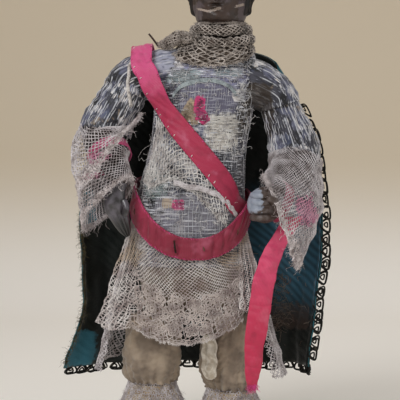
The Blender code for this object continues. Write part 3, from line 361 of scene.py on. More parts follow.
def worms(count, width, length, step, radius, seed=3, steps=6, keep=None, top=0.0, lift=0.0):
    # short threads that wander at random over the cloth
    random = np.random.default_rng(seed)
    start = random.uniform((0, top), (width, length), (count, 2))
    if keep is not None:
        start = start[keep(start[:, 0], start[:, 1])]
    heading = random.uniform(0, turn, (len(start), 1)) + np.cumsum(random.normal(0, 0.9, (len(start), steps)), axis=1)
    path = start[:, None] + np.cumsum(np.stack([np.cos(heading), np.sin(heading)], axis=2) * step, axis=1)
    height = lift + radius * random.uniform(0, 2.2, (len(start), steps))
    return threads(np.concatenate([path, height[..., None]], axis=2), radius)


def lattice(width, length, pitch, seed=4, top=0.0, jitter=0.2):
    # jittered places in staggered rows
    random = np.random.default_rng(seed)
    rows, columns = int((length - top) / pitch / 0.87) + 1, int(width / pitch) + 1
    i, j = np.meshgrid(np.arange(rows), np.arange(columns), indexing="ij")
    x = (j + 0.5 * (i % 2) + random.uniform(-jitter, jitter, i.shape)) * pitch
    y = top + (i + random.uniform(-jitter, jitter, i.shape)) * pitch * 0.87
    return np.stack([x, y], axis=2).reshape(-1, 2)


def flowers(places, size, petals, radius, seed=5):
    # petalled outlines inside each other: a ring whose reach swells and shrinks petals times
    random = np.random.default_rng(seed)
    angle = np.linspace(0, turn, 37)
    found = []
    for x, y in places:
        start, scale = random.uniform(0, turn), size * random.uniform(0.8, 1.15)
        for share in (1.0, 0.90, 0.56, 0.24):
            reach = scale * share * (0.68 + 0.32 * np.abs(np.cos(petals * angle / 2 + start)))
            reach = reach * (1 + 0.03 * random.normal(size=len(angle)))
            reach[-1] = reach[0]
            path = np.stack([x + reach * np.cos(angle), y + reach * np.sin(angle), 0 * angle + radius], axis=1)
            found.append(threads(path[None], radius * (1.6 if share == 1.0 else 1.2)))
        spokes = np.linspace(0, turn, 16)[:-1]
        inner = np.stack([x + scale * 0.18 * np.cos(spokes), y + scale * 0.18 * np.sin(spokes)], axis=1)
        outer = np.stack([x + scale * 0.8 * np.cos(spokes + 0.1), y + scale * 0.8 * np.sin(spokes + 0.1)], axis=1)
        found.append(threads(segments(inner, outer, radius * 0.5), radius * 0.9))
    return found


def picots(width, length, pitch, size, radius, seed=6, hem=None):
    # loops and loose ends along the lower edge
    random = np.random.default_rng(seed)
    x = np.arange(pitch / 2, width, pitch) + random.uniform(-0.3, 0.3, len(np.arange(pitch / 2, width, pitch))) * pitch
    y = np.full(len(x), length) if hem is None else hem(x)
    found = [rings(np.stack([x, y], axis=1), random.uniform(0.7, 1.2, len(x)) * size, radius, seed, 8)]
    ends = np.stack([x + random.normal(0, size, len(x)), y + size * random.uniform(1.2, 3.2, len(x))], axis=1)
    bend = (np.stack([x, y], axis=1) + ends) / 2 + random.normal(0, size * 0.6, (len(x), 2))
    path = np.stack([np.stack([x, y], axis=1), bend, ends], axis=1)
    height = random.uniform(-1, 2, (len(x), 3, 1)) * size * 0.5
    found.append(threads(np.concatenate([path, height], axis=2), radius * 0.7))
    return found


def fuzz(starts, ways, reach, radius, seed=7, curl=0.5, fall=0.3, steps=5):
    # loose hairs in space from (n, 3) starts along (n, 3) ways, curling and drooping
    random = np.random.default_rng(seed)
    ways = unit(ways)
    lengths = random.uniform(0.35, 1.0, (len(starts), 1, 1)) * reach
    t = np.linspace(0, 1, steps)[None, :, None]
    drift = np.cumsum(random.normal(0, curl / steps, (len(starts), steps, 3)), axis=1)
    drift -= drift[:, :1]
    path = starts[:, None] + (ways[:, None] * t + drift + point(0, 0, -fall) * t**2) * lengths
    return threads(path, radius * np.linspace(1, 0.45, steps), 3, (0.31, 0.17, 0.93))


# Guide shapes, the same as the CAD's

shift = point(0.004942, -0.002794, 0.0)
axis = point(0.004, -0.003, 0.165)
camera = {"aim": point(0.002, 0.0, 0.1462), "distance": 0.90, "tilt": math.radians(3.0), "width": 0.240}
torso = {
    "bottom": 0.080, "top": 0.242, "halfWidth": 0.0325, "halfDepth": 0.0255, "hip": -0.0090, "neck": 0.0095,
    "shares": (  # height, half width, half depth, lean from the hip to the neck
        (0, 0.95, 0.86, 0), (0.134, 0.98, 0.96, 0), (0.256, 1, 1.02, 0), (0.350, 1, 1.02, 0),
        (0.439, 0.97, 0.97, 0.06), (0.622, 0.87, 0.87, 0.30), (0.774, 0.90, 0.84, 0.48),
        (0.854, 0.90, 0.78, 0.55), (0.915, 0.83, 0.67, 0.68), (0.951, 0.70, 0.58, 0.80),
        (0.982, 0.48, 0.49, 0.92), (1, 0.33, 0.42, 1),
    ),
}


def seen(across, down, y):
    # the (x, z) at depth y that shows at a spot of the picture, 400 by 400, from its camera
    c, s = math.cos(camera["tilt"]), math.sin(camera["tilt"])
    eye = camera["aim"] + point(0, -c, s) * camera["distance"]
    step = camera["width"] / 400
    spot = camera["aim"] + point(1, 0, 0) * (across - 200) * step + point(0, s, c) * (200 - down) * step
    found = eye + (spot - eye) * (y - eye[1]) / (spot[1] - eye[1])
    return float(found[0]), float(found[2])


def superellipse(angle, squareness=2.3):
    c, s = np.cos(angle), np.sin(angle)
    return np.sign(c) * np.abs(c) ** (2 / squareness), np.sign(s) * np.abs(s) ** (2 / squareness)


def torsoRow(height):
    t = torso
    width, depth, lean = along(t["shares"], (height - t["bottom"]) / (t["top"] - t["bottom"]))
    return t["halfWidth"] * width, t["halfDepth"] * depth, t["hip"] + (t["neck"] - t["hip"]) * lean + shift[0]


def torsoBase(angle, height):
    width, depth, middle = torsoRow(height)
    across, back = superellipse(angle)
    return np.stack([middle + width * across, depth * back + shift[1], height + 0 * across], axis=-1)


def torsoOut(angle, height):
    probe = 0.0001
    turned, raised = probe / torso["halfWidth"], probe
    across = torsoBase(angle + turned, height) - torsoBase(angle - turned, height)
    return unit(np.cross(across, torsoBase(angle, height + raised) - torsoBase(angle, height - raised)))


def torsoSpot(angle, height, lift=0.0):
    angle, height, lift = np.broadcast_arrays(np.asarray(angle, float), height, lift)
    return torsoBase(angle, height) + torsoOut(angle, height) * lift[..., None]


def frontAngle(x, z):
    # where on the front of the torso an (x, z) lies
    width, depth, middle = torsoRow(z)
    across = np.clip((x - middle) / width, -0.998, 0.998)
    return turn - np.arccos(np.sign(across) * np.abs(across) ** 1.15)


def sashLine(a):
    return 0.1804 - 0.0409 * np.cos(a) + 0.0034 * np.cos(2 * a) - 0.0049 * np.cos(3 * a)


def beltLine(a):
    return 0.1396 - 0.0035 * np.cos(a) + 0.0133 * np.sin(a) + 0.0069 * np.cos(2 * a)


def halfRise(line, a):
    # how far up and down from its line a ribbon reaches, since it lies slanting on the body
    probe = 0.002
    step = torsoBase(a + probe, line(a + probe)) - torsoBase(a - probe, line(a - probe))
    rise = step[..., 2] / np.hypot(step[..., 0], step[..., 1])
    out = torsoOut(a, line(a))
    return 0.00625 * np.sqrt(1 + rise**2) * np.hypot(out[..., 0], out[..., 1])


def bodyCloth(first, last, top, bottom, columns, rows, lift, wraps=False):
    # cloth on the torso between two angles, in degrees, and two heights or lines of heights
    angle = np.radians(np.linspace(first, last, columns))[None, :]
    v = np.linspace(0, 1, rows)[:, None]
    high, low = (edge(angle) if callable(edge) else edge + 0 * angle for edge in (top, bottom))
    off = lift(angle, v) if callable(lift) else lift
    return Cloth(torsoSpot(angle + 0 * v, high + (low - high) * v, off), wraps, axis)


def moved(cloth, offset):
    offset = np.broadcast_to(offset, cloth.points.shape[:2])[..., None]
    return Cloth(cloth.points + cloth.normals * offset, cloth.wraps, cloth.away)


def wrinkled(cloth, coarse, fine, seed=1, size=0.02):
    p = cloth.points
    return moved(cloth, coarse * ripple(p, size, seed) + fine * ripple(p, size * 0.33, seed + 1))


def hungCloth(first, last, hem, columns, rows, folds, depth=0.0011, seed=1, rough=0.0003):
    # cloth from under the belt down to a hem that bends through three places, its folds opening downwards
    angle = np.radians(np.linspace(first, last, columns))
    s = np.linspace(0, 1, columns)[:, None]
    belted = beltLine(angle) - halfRise(beltLine, angle)
    free = np.minimum(belted, sashLine(angle) - halfRise(sashLine, angle)) - 0.001
    tops, edge = torsoSpot(angle, beltLine(angle) + 0.002, 0.0008), torsoSpot(angle, free, 0.0008)
    a, b, c = (point(*place) + shift for place in hem)
    low = a * (2 * s - 1) * (s - 1) + b * 4 * s * (1 - s) + c * s * (2 * s - 1)
    out = unit(np.cross(np.gradient(low, axis=0), point(0, 0, 1)))
    out = out * np.sign(((low - axis) * out).sum())
    wave = 0.5 - 0.5 * np.cos(turn * folds * s)
    fall = np.linspace(0, 1, rows - 4)[:, None, None]
    hanging = edge * (1 - fall) + low * fall + fall * depth * wave * out
    points = np.concatenate([tops + (edge - tops) * k / 4 for k in range(4)]).reshape(4, columns, 3)
    points = np.concatenate([points, hanging])
    cloth = Cloth(points, False, axis)
    fallen = np.concatenate([np.zeros(4), np.linspace(0, 1, rows - 4)])[:, None]
    return moved(cloth, rough * (0.2 + fallen) * ripple(points, 0.012, seed))


def tubeCloth(path, radii, columns, start=(0.0, 1.0, 0.0), flatness=1.0):
    # cloth round a path: its sides times cos and sin of the way round, times the radius
    side, upward, _ = pathFrames(path, start)
    angle = np.linspace(0, turn, columns)[None, :, None]
    radii = np.broadcast_to(np.asarray(radii, float).reshape(len(path), -1), (len(path), columns))[..., None]
    ring = side[:, None] * np.cos(angle) * flatness + upward[:, None] * np.sin(angle)
    return Cloth(path[:, None] + ring * radii, True, None)


arms = {
    "right": {
        "places": ((-0.0408, 0.0010, 0.2210), (-0.0605, 0.0020, 0.1850), (-0.0500, -0.0215, 0.1560)),
        "radius": 0.0115, "sleeve": 0.50,
    },
    "left": {
        "places": ((0.0412, 0.0010, 0.2120), (0.0540, 0.0030, 0.1720), (0.0430, -0.0190, 0.1500)),
        "radius": 0.0105, "sleeve": 0.56,
    },
}


def armPath(side, count=121):
    shoulder, elbow, wrist = (point(*p) + shift for p in arms[side]["places"])
    upper = (shoulder + elbow) / 2 + point((elbow - shoulder)[0] * 0.08, 0, 0)
    path = smoothPath((shoulder, upper, elbow, elbow + (wrist - elbow) * 0.55, wrist), count)
    r = arms[side]["radius"]
    rows = ((0, r), (0.25, r * 1.14), (0.55, 0.0152), (0.75, 0.0105), (1, 0.0062))
    return path, along(rows, np.linspace(0, 1, count))[0]


def cuffCloth(side, first, rim, half, depth, slope, rows, columns, tip=0.0, swell=0.005):
    # from a round ring across the arm to a slanting rim: the share along it eases the change
    path, radii = armPath(side)
    tangent = unit(path[first + 1] - path[first - 1])
    c, s = math.cos(math.radians(slope)), math.sin(math.radians(slope))
    long, short = point(c, 0, s), point(0, math.cos(math.radians(tip)), -math.sin(math.radians(tip)))
    flatLong = unit(long - tangent * long.dot(tangent))
    flatShort = unit(short - tangent * short.dot(tangent) - flatLong * short.dot(flatLong))
    angle = np.linspace(0, turn, columns)[:, None]
    start = path[first] + (flatLong * np.cos(angle) + flatShort * np.sin(angle)) * (radii[first] + 0.0004)
    across, back = superellipse(angle)
    end = point(*rim) + shift + half * long * across + depth * short * back
    share = np.linspace(0, 1, rows)[:, None, None] ** 0.8
    away = flatLong * np.cos(angle) + flatShort * np.sin(angle)
    outer = np.maximum(away[:, :1] * (-1 if side == "right" else 1), 0)
    bulge = away * outer * swell * np.sin(math.pi * share) * (1, 0.4, 1)
    return Cloth(start * (1 - share) + end * share + bulge, True, None)


def capeCloth(lift, rows, columns, narrow=0.0, shorter=0.0):
    # a cloak behind the arms: narrow at the neck, wide at the hem, folded, with one corner turned out
    shares = ((0, 0, 0), (0.08, 0.36, 0.22), (0.20, 0.70, 0.44), (0.36, 0.95, 0.62), (0.60, 1, 0.82), (1, 1, 1))
    fall = (np.linspace(0, 1, rows) * (1 - shorter))[:, None]
    across = np.linspace(math.pi - narrow, narrow, columns)[None, :]
    wide, deep = along(shares, fall)
    c, s = np.cos(across), np.sin(across)
    half = 0.0400 + 0.0305 * wide
    arch = np.maximum(s, 0) ** 0.75
    seat = torsoSpot(math.pi / 2, 0.237, 0.0004 + 1.15 * 0.0024)[1] + 0.0003 + 0.0008 + 0.0002
    back = seat + (0.0450 + shift[1] - seat) * deep
    edge = 0.0165 + shift[1]
    x = 0.0095 * 0.4 * (1 - wide) + half * np.sign(c) * np.abs(c) ** 0.9
    y = edge + (back - edge) * arch
    top = 0.237 - 0.0130 * (1 - arch)
    z = top + (0.0430 - top) * fall
    wave = 0.0022 * np.cos(10 * across) * fall**0.7 * np.maximum(s, 0) ** 0.5
    corner = np.exp(-((np.degrees(math.pi - across) / 20) ** 2) - ((fall - 1.0) / 0.12) ** 2)
    spread = 0.0050 * np.maximum(-c, 0) ** 2 * ease(0.25, 0.5, fall) * (1 - 0.5 * ease(0.55, 0.8, fall)) + 0.0075 * np.maximum(c, 0) ** 2 * ease(0.62, 1.0, fall)
    x = x + wave * c - 0.0120 * corner - spread + shift[0]
    y = y + wave * s - 0.0060 * corner
    return moved(Cloth(np.stack([x, y, z + 0 * x], axis=2), False, point(0.0, -0.05, 0.14)), lift)


# Finishes


class Socket:
    # a value inside a material, on which sums are written as on numbers
    def __init__(self, finish, socket):
        self.finish, self.socket = finish, socket

    def math(self, operation, *values):
        return self.finish.node("Math", {"operation": operation}, dict(enumerate(values or (self,))))

    def __add__(self, other):
        return self.math("ADD", self, other)

    def __sub__(self, other):
        return self.math("SUBTRACT", self, other)

    def __rsub__(self, other):
        return self.math("SUBTRACT", other, self)

    def __mul__(self, other):
        return self.math("MULTIPLY", self, other)

    def __truediv__(self, other):
        return self.math("DIVIDE", self, other)

    __radd__, __rmul__ = __add__, __mul__


class Finish:
    # a material on the Principled shader, whose node() adds any other node and gives its value
    def __init__(self, name, roughness=0.75, **plain):
        self.material = bpy.data.materials.new(name)
        self.material.use_nodes = True
        self.tree = self.material.node_tree
        self.shader = self.tree.nodes["Principled BSDF"]
        self.shader.inputs["Roughness"].default_value = roughness
        for key, value in plain.items():
            self.shader.inputs[key.replace("_", " ").title().replace("Ior", "IOR")].default_value = value
        self.place = self.node("TexCoord", out="Object")
        self.x, self.y, self.z = self.axes(self.place)

    def node(self, kind, settings=None, values=None, out=0):
        node = self.tree.nodes.new("ShaderNode" + kind)
        for key, value in (settings or {}).items():
            setattr(node, key, value)
        for key, value in (values or {}).items():
            if isinstance(value, Socket):
                self.tree.links.new(value.socket, node.inputs[key])
            else:
                node.inputs[key].default_value = value
        return Socket(self, node.outputs[out])

    def axes(self, vector):
        return [self.node("SeparateXYZ", None, {0: vector}, k) for k in range(3)]

    def flat(self):  # metres across and down the cloth
        return self.axes(self.node("UVMap", {"uv_map": "weave"}))[:2]

    def noise(self, size, detail=2.0, stretch=(1, 1, 1), where=None):
        scale = tuple(k / size for k in stretch)
        vector = self.node("VectorMath", {"operation": "MULTIPLY"}, {0: where or self.place, 1: scale})
        return self.node("TexNoise", None, {"Vector": vector, "Scale": 1.0, "Detail": detail})

    def cells(self, size, where=None):
        vector = self.node("VectorMath", {"operation": "SCALE"}, {0: where or self.place, 3: 1 / size})
        return self.node("TexVoronoi", None, {"Vector": vector, "Scale": 1.0})

    def step(self, value, low, high):
        return self.node("MapRange", {"interpolation_type": "SMOOTHSTEP"}, {0: value, 1: low, 2: high})

    def mix(self, factor, first, second):
        return self.node("Mix", {"data_type": "RGBA"}, {0: factor, 6: first, 7: second}, 2)

    def wave(self, value, size):
        return (value * (turn / size)).math("SINE") * 0.5 + 0.5

    def patch(self, place, wide, tall, ragged=0.5, grain=0.003, lean=0.0, depth=0.006):
        # 1 inside an ellipse round (x, z) seen from the front, leaning by an angle, with a ragged rim
        x, z = self.x - place[0], self.z - place[1]
        c, s = math.cos(lean), math.sin(lean)
        across, up = (x * c + z * s) / wide, (z * c - x * s) / tall
        across, up = across * across, up * up
        reach = (across * across + up * up).math("SQRT").math("SQRT") + (self.noise(grain, 3) - 0.5) * (2 * ragged)
        return self.step(reach, 1.12, 0.88) * self.step(self.y, depth, depth - 0.006)

    def paint(self, colour, height=None, strength=0.6, distance=0.0004, roughness=None, alpha=None):
        self.tree.links.new(colour.socket, self.shader.inputs["Base Color"])
        if height is not None:
            values = {"Height": height, "Strength": strength, "Distance": distance}
            self.tree.links.new(self.node("Bump", None, values).socket, self.shader.inputs["Normal"])
        for value, key in ((roughness, "Roughness"), (alpha, "Alpha")):
            if value is not None:
                self.tree.links.new(value.socket, self.shader.inputs[key])
        return self.material


def threadFinish(name, light, dark, size=0.006, worn=None, fuzzy=0.25, stains=()):
    # spun thread: its shade drifts from place to place and from thread to thread
    f = Finish(name, 0.88, sheen_weight=fuzzy, sheen_roughness=0.5, specular_ior_level=0.2)
    fine = f.noise(0.0005, 2)
    colour = f.mix(f.step(f.noise(size, 3) * 0.6 + fine * 0.4, 0.36, 0.6), dark, light)
    if worn is not None:
        colour = f.mix(f.step(f.noise(size * 2.3, 3), 0.55, 0.68), colour, worn)
    for place, wide, tall, lean in stains:
        colour = f.mix(f.patch(seen(*place, -0.02), wide, tall, 0.9, 0.003, lean) * 0.42, colour, colours["pink"])
    return f.paint(colour, fine, 0.5, 0.0002)


def silkFinish(name, low, high, pale, heights):
    # ribbed ribbon: colour runs from low to high between two heights, so each ribbon is lighter higher up as painted
    # light from above; pale where it is rubbed
    f = Finish(name, 0.42, sheen_weight=0.3, sheen_roughness=0.35, specular_ior_level=0.45, anisotropic=0.4)
    u, v = f.flat()
    ribs = f.wave(u, 0.00075)
    weft = f.wave(v, 0.0006)
    blotch = f.noise(0.007, 3)
    # painted light from above: darker low down, lighter high up
    colour = f.mix(f.step(f.z + (blotch - 0.5) * 0.02, *heights), low, high)
    colour = f.mix(f.step(f.noise(0.009, 4), 0.52, 0.78) * 0.45, colour, pale)
    colour = f.mix(f.step(f.noise(0.006, 3), 0.50, 0.28) * 0.28, colour, tuple(c * 0.4 for c in low[:3]) + (1,))
    colour = f.mix(ribs * 0.22, colour, tuple(c * 0.45 for c in low[:3]) + (1,))
    return f.paint(colour, ribs * 0.7 + weft * 0.3 + f.noise(0.0008), 0.45, 0.00025, 0.34 + blotch * 0.3)


colours = {
    # the dark brown (0.20, 0.16, 0.12) is painted shadow for the gap between the torso and the left sleeve
    "violet": tone(0.41, 0.40, 0.48), "violetGrey": tone(0.50, 0.49, 0.53), "pale": tone(0.86, 0.845, 0.82), "dusk": tone(0.20, 0.16, 0.12),
    "lace": tone(0.86, 0.84, 0.85), "laceShade": tone(0.58, 0.54, 0.54), "laceOchre": tone(0.70, 0.58, 0.42),
    "white": tone(0.92, 0.90, 0.89), "grey": tone(0.57, 0.56, 0.58), "pink": tone(0.90, 0.34, 0.62),
    "crimson": tone(0.72, 0.18, 0.32), "blush": tone(0.90, 0.56, 0.68), "teal": tone(0.17, 0.41, 0.46),
    "mint": tone(0.60, 0.68, 0.67), "lavender": tone(0.58, 0.58, 0.70), "slate": tone(0.28, 0.28, 0.32),
    "cream": tone(0.86, 0.81, 0.74), "beige": tone(0.70, 0.62, 0.52), "magenta": tone(0.78, 0.22, 0.45),
    # the violet-grey sheen tone is painted sheen on the skin
    "brown": tone(0.20, 0.15, 0.11), "skin": tone(0.23, 0.155, 0.115), "sheen": tone(0.38, 0.34, 0.36),
    "black": tone(0.055, 0.05, 0.05), "lining": tone(0.075, 0.105, 0.095), "steel": tone(0.20, 0.18, 0.17),
    "taupe": tone(0.50, 0.445, 0.39), "puff": tone(0.67, 0.605, 0.53), "leather": tone(0.22, 0.14, 0.10),
    "wood": tone(0.62, 0.47, 0.31), "olive": tone(0.36, 0.32, 0.20),
}

laceThread = threadFinish(
    "laceThread", colours["lace"], colours["laceShade"], 0.006, None, 0.25,
    (((306, 210), 0.0055, 0.0085, 0.3), ((100, 158), 0.0060, 0.0030, 0.4), ((92, 176), 0.0045, 0.0020, 0.2)))
collarThread = threadFinish("collarThread", tone(0.76, 0.72, 0.69), tone(0.40, 0.36, 0.33), 0.004)
apronThread = threadFinish("apronThread", colours["white"], tone(0.68, 0.62, 0.61), 0.009, tone(0.78, 0.71, 0.64), 0.2)
chestThread = threadFinish("chestThread", tone(0.94, 0.93, 0.92), tone(0.70, 0.67, 0.66), 0.006)
figureThread = threadFinish("figureThread", tone(0.85, 0.81, 0.79), tone(0.58, 0.52, 0.51), 0.007)
fringeThread = threadFinish("fringeThread", tone(0.89, 0.86, 0.86), tone(0.60, 0.55, 0.54), 0.003)
brownThread = threadFinish("brownThread", tone(0.40, 0.30, 0.20), colours["brown"], 0.002)
coreThread = threadFinish("coreThread", tone(0.36, 0.30, 0.24), tone(0.20, 0.16, 0.12), 0.004)
gimpThread = threadFinish("gimpThread", tone(0.12, 0.12, 0.11), colours["black"], 0.0012, tone(0.27, 0.25, 0.21), 0.1)
paleThread = threadFinish("paleThread", tone(0.82, 0.82, 0.83), tone(0.56, 0.55, 0.60), 0.004)
mintThread = threadFinish("mintThread", tone(0.67, 0.71, 0.72), tone(0.45, 0.48, 0.50), 0.004)
leafThread = threadFinish("leafThread", tone(0.76, 0.70, 0.63), tone(0.50, 0.43, 0.36), 0.004)
roseThread = threadFinish("roseThread", tone(0.72, 0.34, 0.52), tone(0.44, 0.13, 0.28), 0.003)
creamThread = threadFinish("creamThread", tone(0.94, 0.93, 0.91), tone(0.76, 0.73, 0.70), 0.004)
pinkThread = threadFinish("pinkThread", colours["pink"], colours["crimson"], 0.003)

# each silk's two heights bound its painted light, darker below and lighter above
sashSilk = silkFinish("sashSilk", tone(0.70, 0.17, 0.31), tone(0.88, 0.33, 0.56), colours["blush"], (0.195, 0.236))
beltSilk = silkFinish("beltSilk", tone(0.55, 0.13, 0.23), tone(0.72, 0.20, 0.35), tone(0.80, 0.42, 0.53), (0.12, 0.16))
streamerSilk = silkFinish("streamerSilk", tone(0.80, 0.18, 0.33), tone(0.88, 0.30, 0.46), tone(0.90, 0.46, 0.56), (0.07, 0.12))


def brocadeFinish(name, sleeve=False):
    # a figured silk: a dim ground, pale dashes of weft, thin warp lines and, on the front, coloured zones, with a
    # painted shadow on tunic and sleeve in the gap between the torso and the left sleeve
    f = Finish(name, 0.6, sheen_weight=0.2, sheen_roughness=0.4, specular_ior_level=0.4)
    u, v = f.flat()
    cloth = f.node("UVMap", {"uv_map": "weave"})
    blotch = f.noise(0.008, 4)
    ground = f.mix(f.step(blotch, 0.36, 0.62), tone(0.09, 0.09, 0.10), tone(0.27, 0.27, 0.31))
    ground = f.mix(f.step(f.noise(0.013, 3), 0.48, 0.62) * 0.7, ground, tone(0.44, 0.45, 0.55))
    long, short = ((2.4, 0.26, 1), (2.2, 0.4, 1)) if sleeve else ((0.26, 2.4, 1), (0.4, 2.2, 1))
    dashes, flecks = f.noise(0.0014, 3, short, cloth), f.noise(0.0025, 2, long, cloth)
    wear = f.noise(0.011, 4)
    ground = f.mix(f.step(dashes + (wear - 0.5) * 1.1, 0.54, 0.60) * 0.7, ground, tone(0.66, 0.67, 0.71))
    lines = f.step(f.wave(u, 0.0046 if sleeve else 0.00145), 0.90, 1.0) * f.step(f.noise(0.006, 3), 0.40, 0.50)
    ground = f.mix(f.step(wear + (flecks - 0.5) * 0.8, 0.60, 0.64) * 0.85, ground, colours["white"])
    # painted shadow in the gap between the torso and the left sleeve
    dusk = f.patch(seen(260, 112, -0.02), 0.0080, 0.0165, 0.35, 0.004)
    if sleeve:
        ground = f.mix(f.patch(seen(168, 54, -0.012), 0.014, 0.010, 0.8, 0.004) * 0.8, ground, tone(0.70, 0.71, 0.78))
        ground = f.mix(f.step(f.noise(0.012, 3), 0.58, 0.66) * 0.4, ground, tone(0.38, 0.42, 0.54))
        ground = f.mix(f.step(f.noise(0.009, 3, (1.4, 1, 1)), 0.64, 0.7) * 0.5, ground, colours["beige"])
        ground = f.mix(f.step(flecks, 0.47, 0.40) * 0.6, ground, tone(0.09, 0.09, 0.11))
        ground = f.mix(f.step(flecks, 0.65, 0.69) * 0.6, ground, tone(0.80, 0.81, 0.84))
        ground = f.mix(lines * 0.75, ground, tone(0.84, 0.85, 0.88))
        # painted shadow in the gap between the torso and the left sleeve
        ground = f.mix(dusk * 0.85, ground, colours["dusk"])
        return f.paint(ground, lines + dashes * 0.8 + blotch * 0.6, 0.8, 0.0005)
    zones = (
        ("lavender", (192, 60), 0.020, 0.0060, 0.0, 0.9), ("white", (166, 60), 0.008, 0.010, 0.4, 0.8),
        ("lavender", (205, 78), 0.026, 0.0060, 0.0, 0.7), ("mint", (182, 76), 0.011, 0.0040, 0.0, 0.7),
        ("mint", (228, 72), 0.008, 0.0024, 0.0, 0.6), ("violet", (207, 100), 0.019, 0.0090, 0.0, 0.9),
        ("pale", (222, 132), 0.0100, 0.0105, 0.0, 0.95), ("white", (242, 95), 0.0052, 0.0036, 0.1, 0.9),
        # the first zone in the next row is painted shadow in the gap between the torso and the left sleeve
        ("dusk", (255, 118), 0.0100, 0.0180, 0.0, 1.0), ("slate", (172, 98), 0.0044, 0.009, 0.0, 0.8),
        ("white", (155, 158), 0.0085, 0.0085, 0.0, 0.9), ("mint", (155, 186), 0.0075, 0.0075, 0.0, 0.5),
        ("slate", (236, 172), 0.009, 0.020, -0.3, 0.85), ("violetGrey", (202, 216), 0.028, 0.014, 0.0, 0.75),
        ("magenta", (178, 205), 0.0036, 0.0030, 0.0, 0.95), ("beige", (167, 203), 0.0030, 0.0030, 0.0, 0.7),
    )
    for key, place, wide, tall, lean, strength in zones:
        mask = f.patch(seen(*place, -0.026), wide, tall, 0.40, 0.0035, lean)
        ground = f.mix(mask * strength, ground, colours[key])
    rough = 1 - f.patch(seen(207, 99, -0.026), 0.019, 0.0095, 0.3) * 0.75 - f.patch(seen(204, 216, -0.03), 0.028, 0.015, 0.5) * 0.6
    ground = f.mix(f.step(flecks, 0.465, 0.41) * rough * 0.75, ground, tone(0.15, 0.14, 0.155))
    ground = f.mix(f.step(flecks, 0.575, 0.61) * rough * 0.9, ground, tone(0.90, 0.91, 0.94))
    ground = f.mix(lines * 0.8, ground, tone(0.82, 0.83, 0.86))
    # painted shadow in the gap between the torso and the left sleeve, laid over everything else
    ground = f.mix(dusk * 0.85, ground, colours["dusk"])
    for key, place, wide, tall, lean in (
        ("beige", (188, 111), 0.0032, 0.0072, -0.5), ("beige", (193, 117), 0.0022, 0.0050, 0.3),
        ("magenta", (199, 108), 0.0032, 0.0070, -0.1), ("magenta", (203, 117), 0.0032, 0.0042, 0.6),
    ):
        ground = f.mix(f.patch(seen(*place, -0.026), wide, tall, 0.30, 0.002, lean), ground, colours[key])
    return f.paint(ground, lines * 0.7 + dashes + flecks, 0.9, 0.0006)


def skinFinish():
    # dark modelled composition, glossy, with violet-grey painted sheen in random spots and on both sides of the jaw,
    # pale where the paint has gone
    f = Finish("skin", 0.42, specular_ior_level=0.5, coat_weight=0.15, coat_roughness=0.35)
    blotch, fine = f.noise(0.006, 4), f.noise(0.0009, 3)
    colour = f.mix(f.step(blotch, 0.35, 0.68), tone(0.17, 0.115, 0.09), colours["skin"])
    # violet-grey painted sheen in random spots
    colour = f.mix(f.step(f.noise(0.004, 4), 0.55, 0.72) * 0.55, colour, colours["sheen"])
    # violet-grey painted sheen on both sides of the jaw
    for place in ((196, 14), (244, 12)):
        colour = f.mix(f.patch(seen(*place, -0.018), 0.0035, 0.0065, 0.5, 0.002) * 0.6, colour, colours["sheen"])
    for place, wide, tall, lean in (((204, 10), 0.0040, 0.0006, -0.3), ((214, 10), 0.0040, 0.0007, 0.25), ((240, 5), 0.003, 0.0007, 0.3)):
        colour = f.mix(f.patch(seen(*place, -0.020), wide, tall, 0.9, 0.0009, lean), colour, tone(0.64, 0.58, 0.54))
    cracks = f.step(f.cells(0.0035), 0.62, 0.8) * 0.3
    return f.paint(f.mix(cracks, colour, colours["black"]), blotch + fine * 0.6, 0.5, 0.0005, 0.30 + blotch * 0.35)


def capeFinish(name, first, second, ribbed):
    f = Finish(name, 0.55, sheen_weight=0.35, sheen_roughness=0.4, specular_ior_level=0.3)
    u, v = f.flat()
    blotch = f.noise(0.011, 4)
    colour = f.mix(f.step(blotch, 0.36, 0.66), first, second)
    right = f.step(f.x, 0.020, 0.045)
    if ribbed:
        ribs = f.wave(f.x * 0.7 + f.z * 0.75 + (f.noise(0.02, 2) - 0.5) * 0.006, 0.0042)
        teal = right * f.step(f.z, 0.066, 0.095) * f.step(f.z, 0.160, 0.140)
        colour = f.mix(teal * (0.45 + ribs * 0.5), colour, tone(0.25, 0.43, 0.52))
        edge = f.step(f.x + (blotch - 0.5) * 0.01, -0.056, -0.066)
        colour = f.mix(edge * 0.30, colour, tone(0.14, 0.14, 0.09))
        gold = f.patch(seen(86, 228, 0.01), 0.004, 0.0035, 0.6)
        colour = f.mix(gold, colour, tone(0.62, 0.52, 0.28))
        colour = f.mix(f.patch(seen(85, 205, 0.02), 0.006, 0.013, 0.5, depth=0.1), colour, tone(0.25, 0.52, 0.60))
        colour = f.mix(f.patch(seen(290, 318, 0.02), 0.012, 0.008, 0.7, depth=0.1) * 0.4, colour, tone(0.34, 0.27, 0.24))
        colour = f.mix(f.patch(seen(78, 350, 0.01), 0.010, 0.011, 0.3, depth=0.1), colour, tone(0.22, 0.45, 0.52))
    else:
        ribs = f.wave(u, 0.0011)
        colour = f.mix(f.step(f.noise(0.004, 4), 0.58, 0.72) * 0.35, colour, tone(0.36, 0.52, 0.50))
    return f.paint(colour, ribs * 0.6 + f.noise(0.0012, 3), 0.5, 0.0005)


def clothFinish(name, light, dark, size=0.008, weaveSize=0.0009):
    f = Finish(name, 0.85, sheen_weight=0.3, sheen_roughness=0.5, specular_ior_level=0.2)
    u, v = f.flat()
    weave = f.wave(u, weaveSize) * 0.5 + f.wave(v, weaveSize) * 0.5
    blotch = f.noise(size, 4)
    colour = f.mix(f.step(blotch, 0.36, 0.64), dark, light)
    colour = f.mix(weave * 0.18, colour, dark)
    return f.paint(colour, weave * 0.5 + f.noise(0.0011, 3), 0.6, 0.0004)


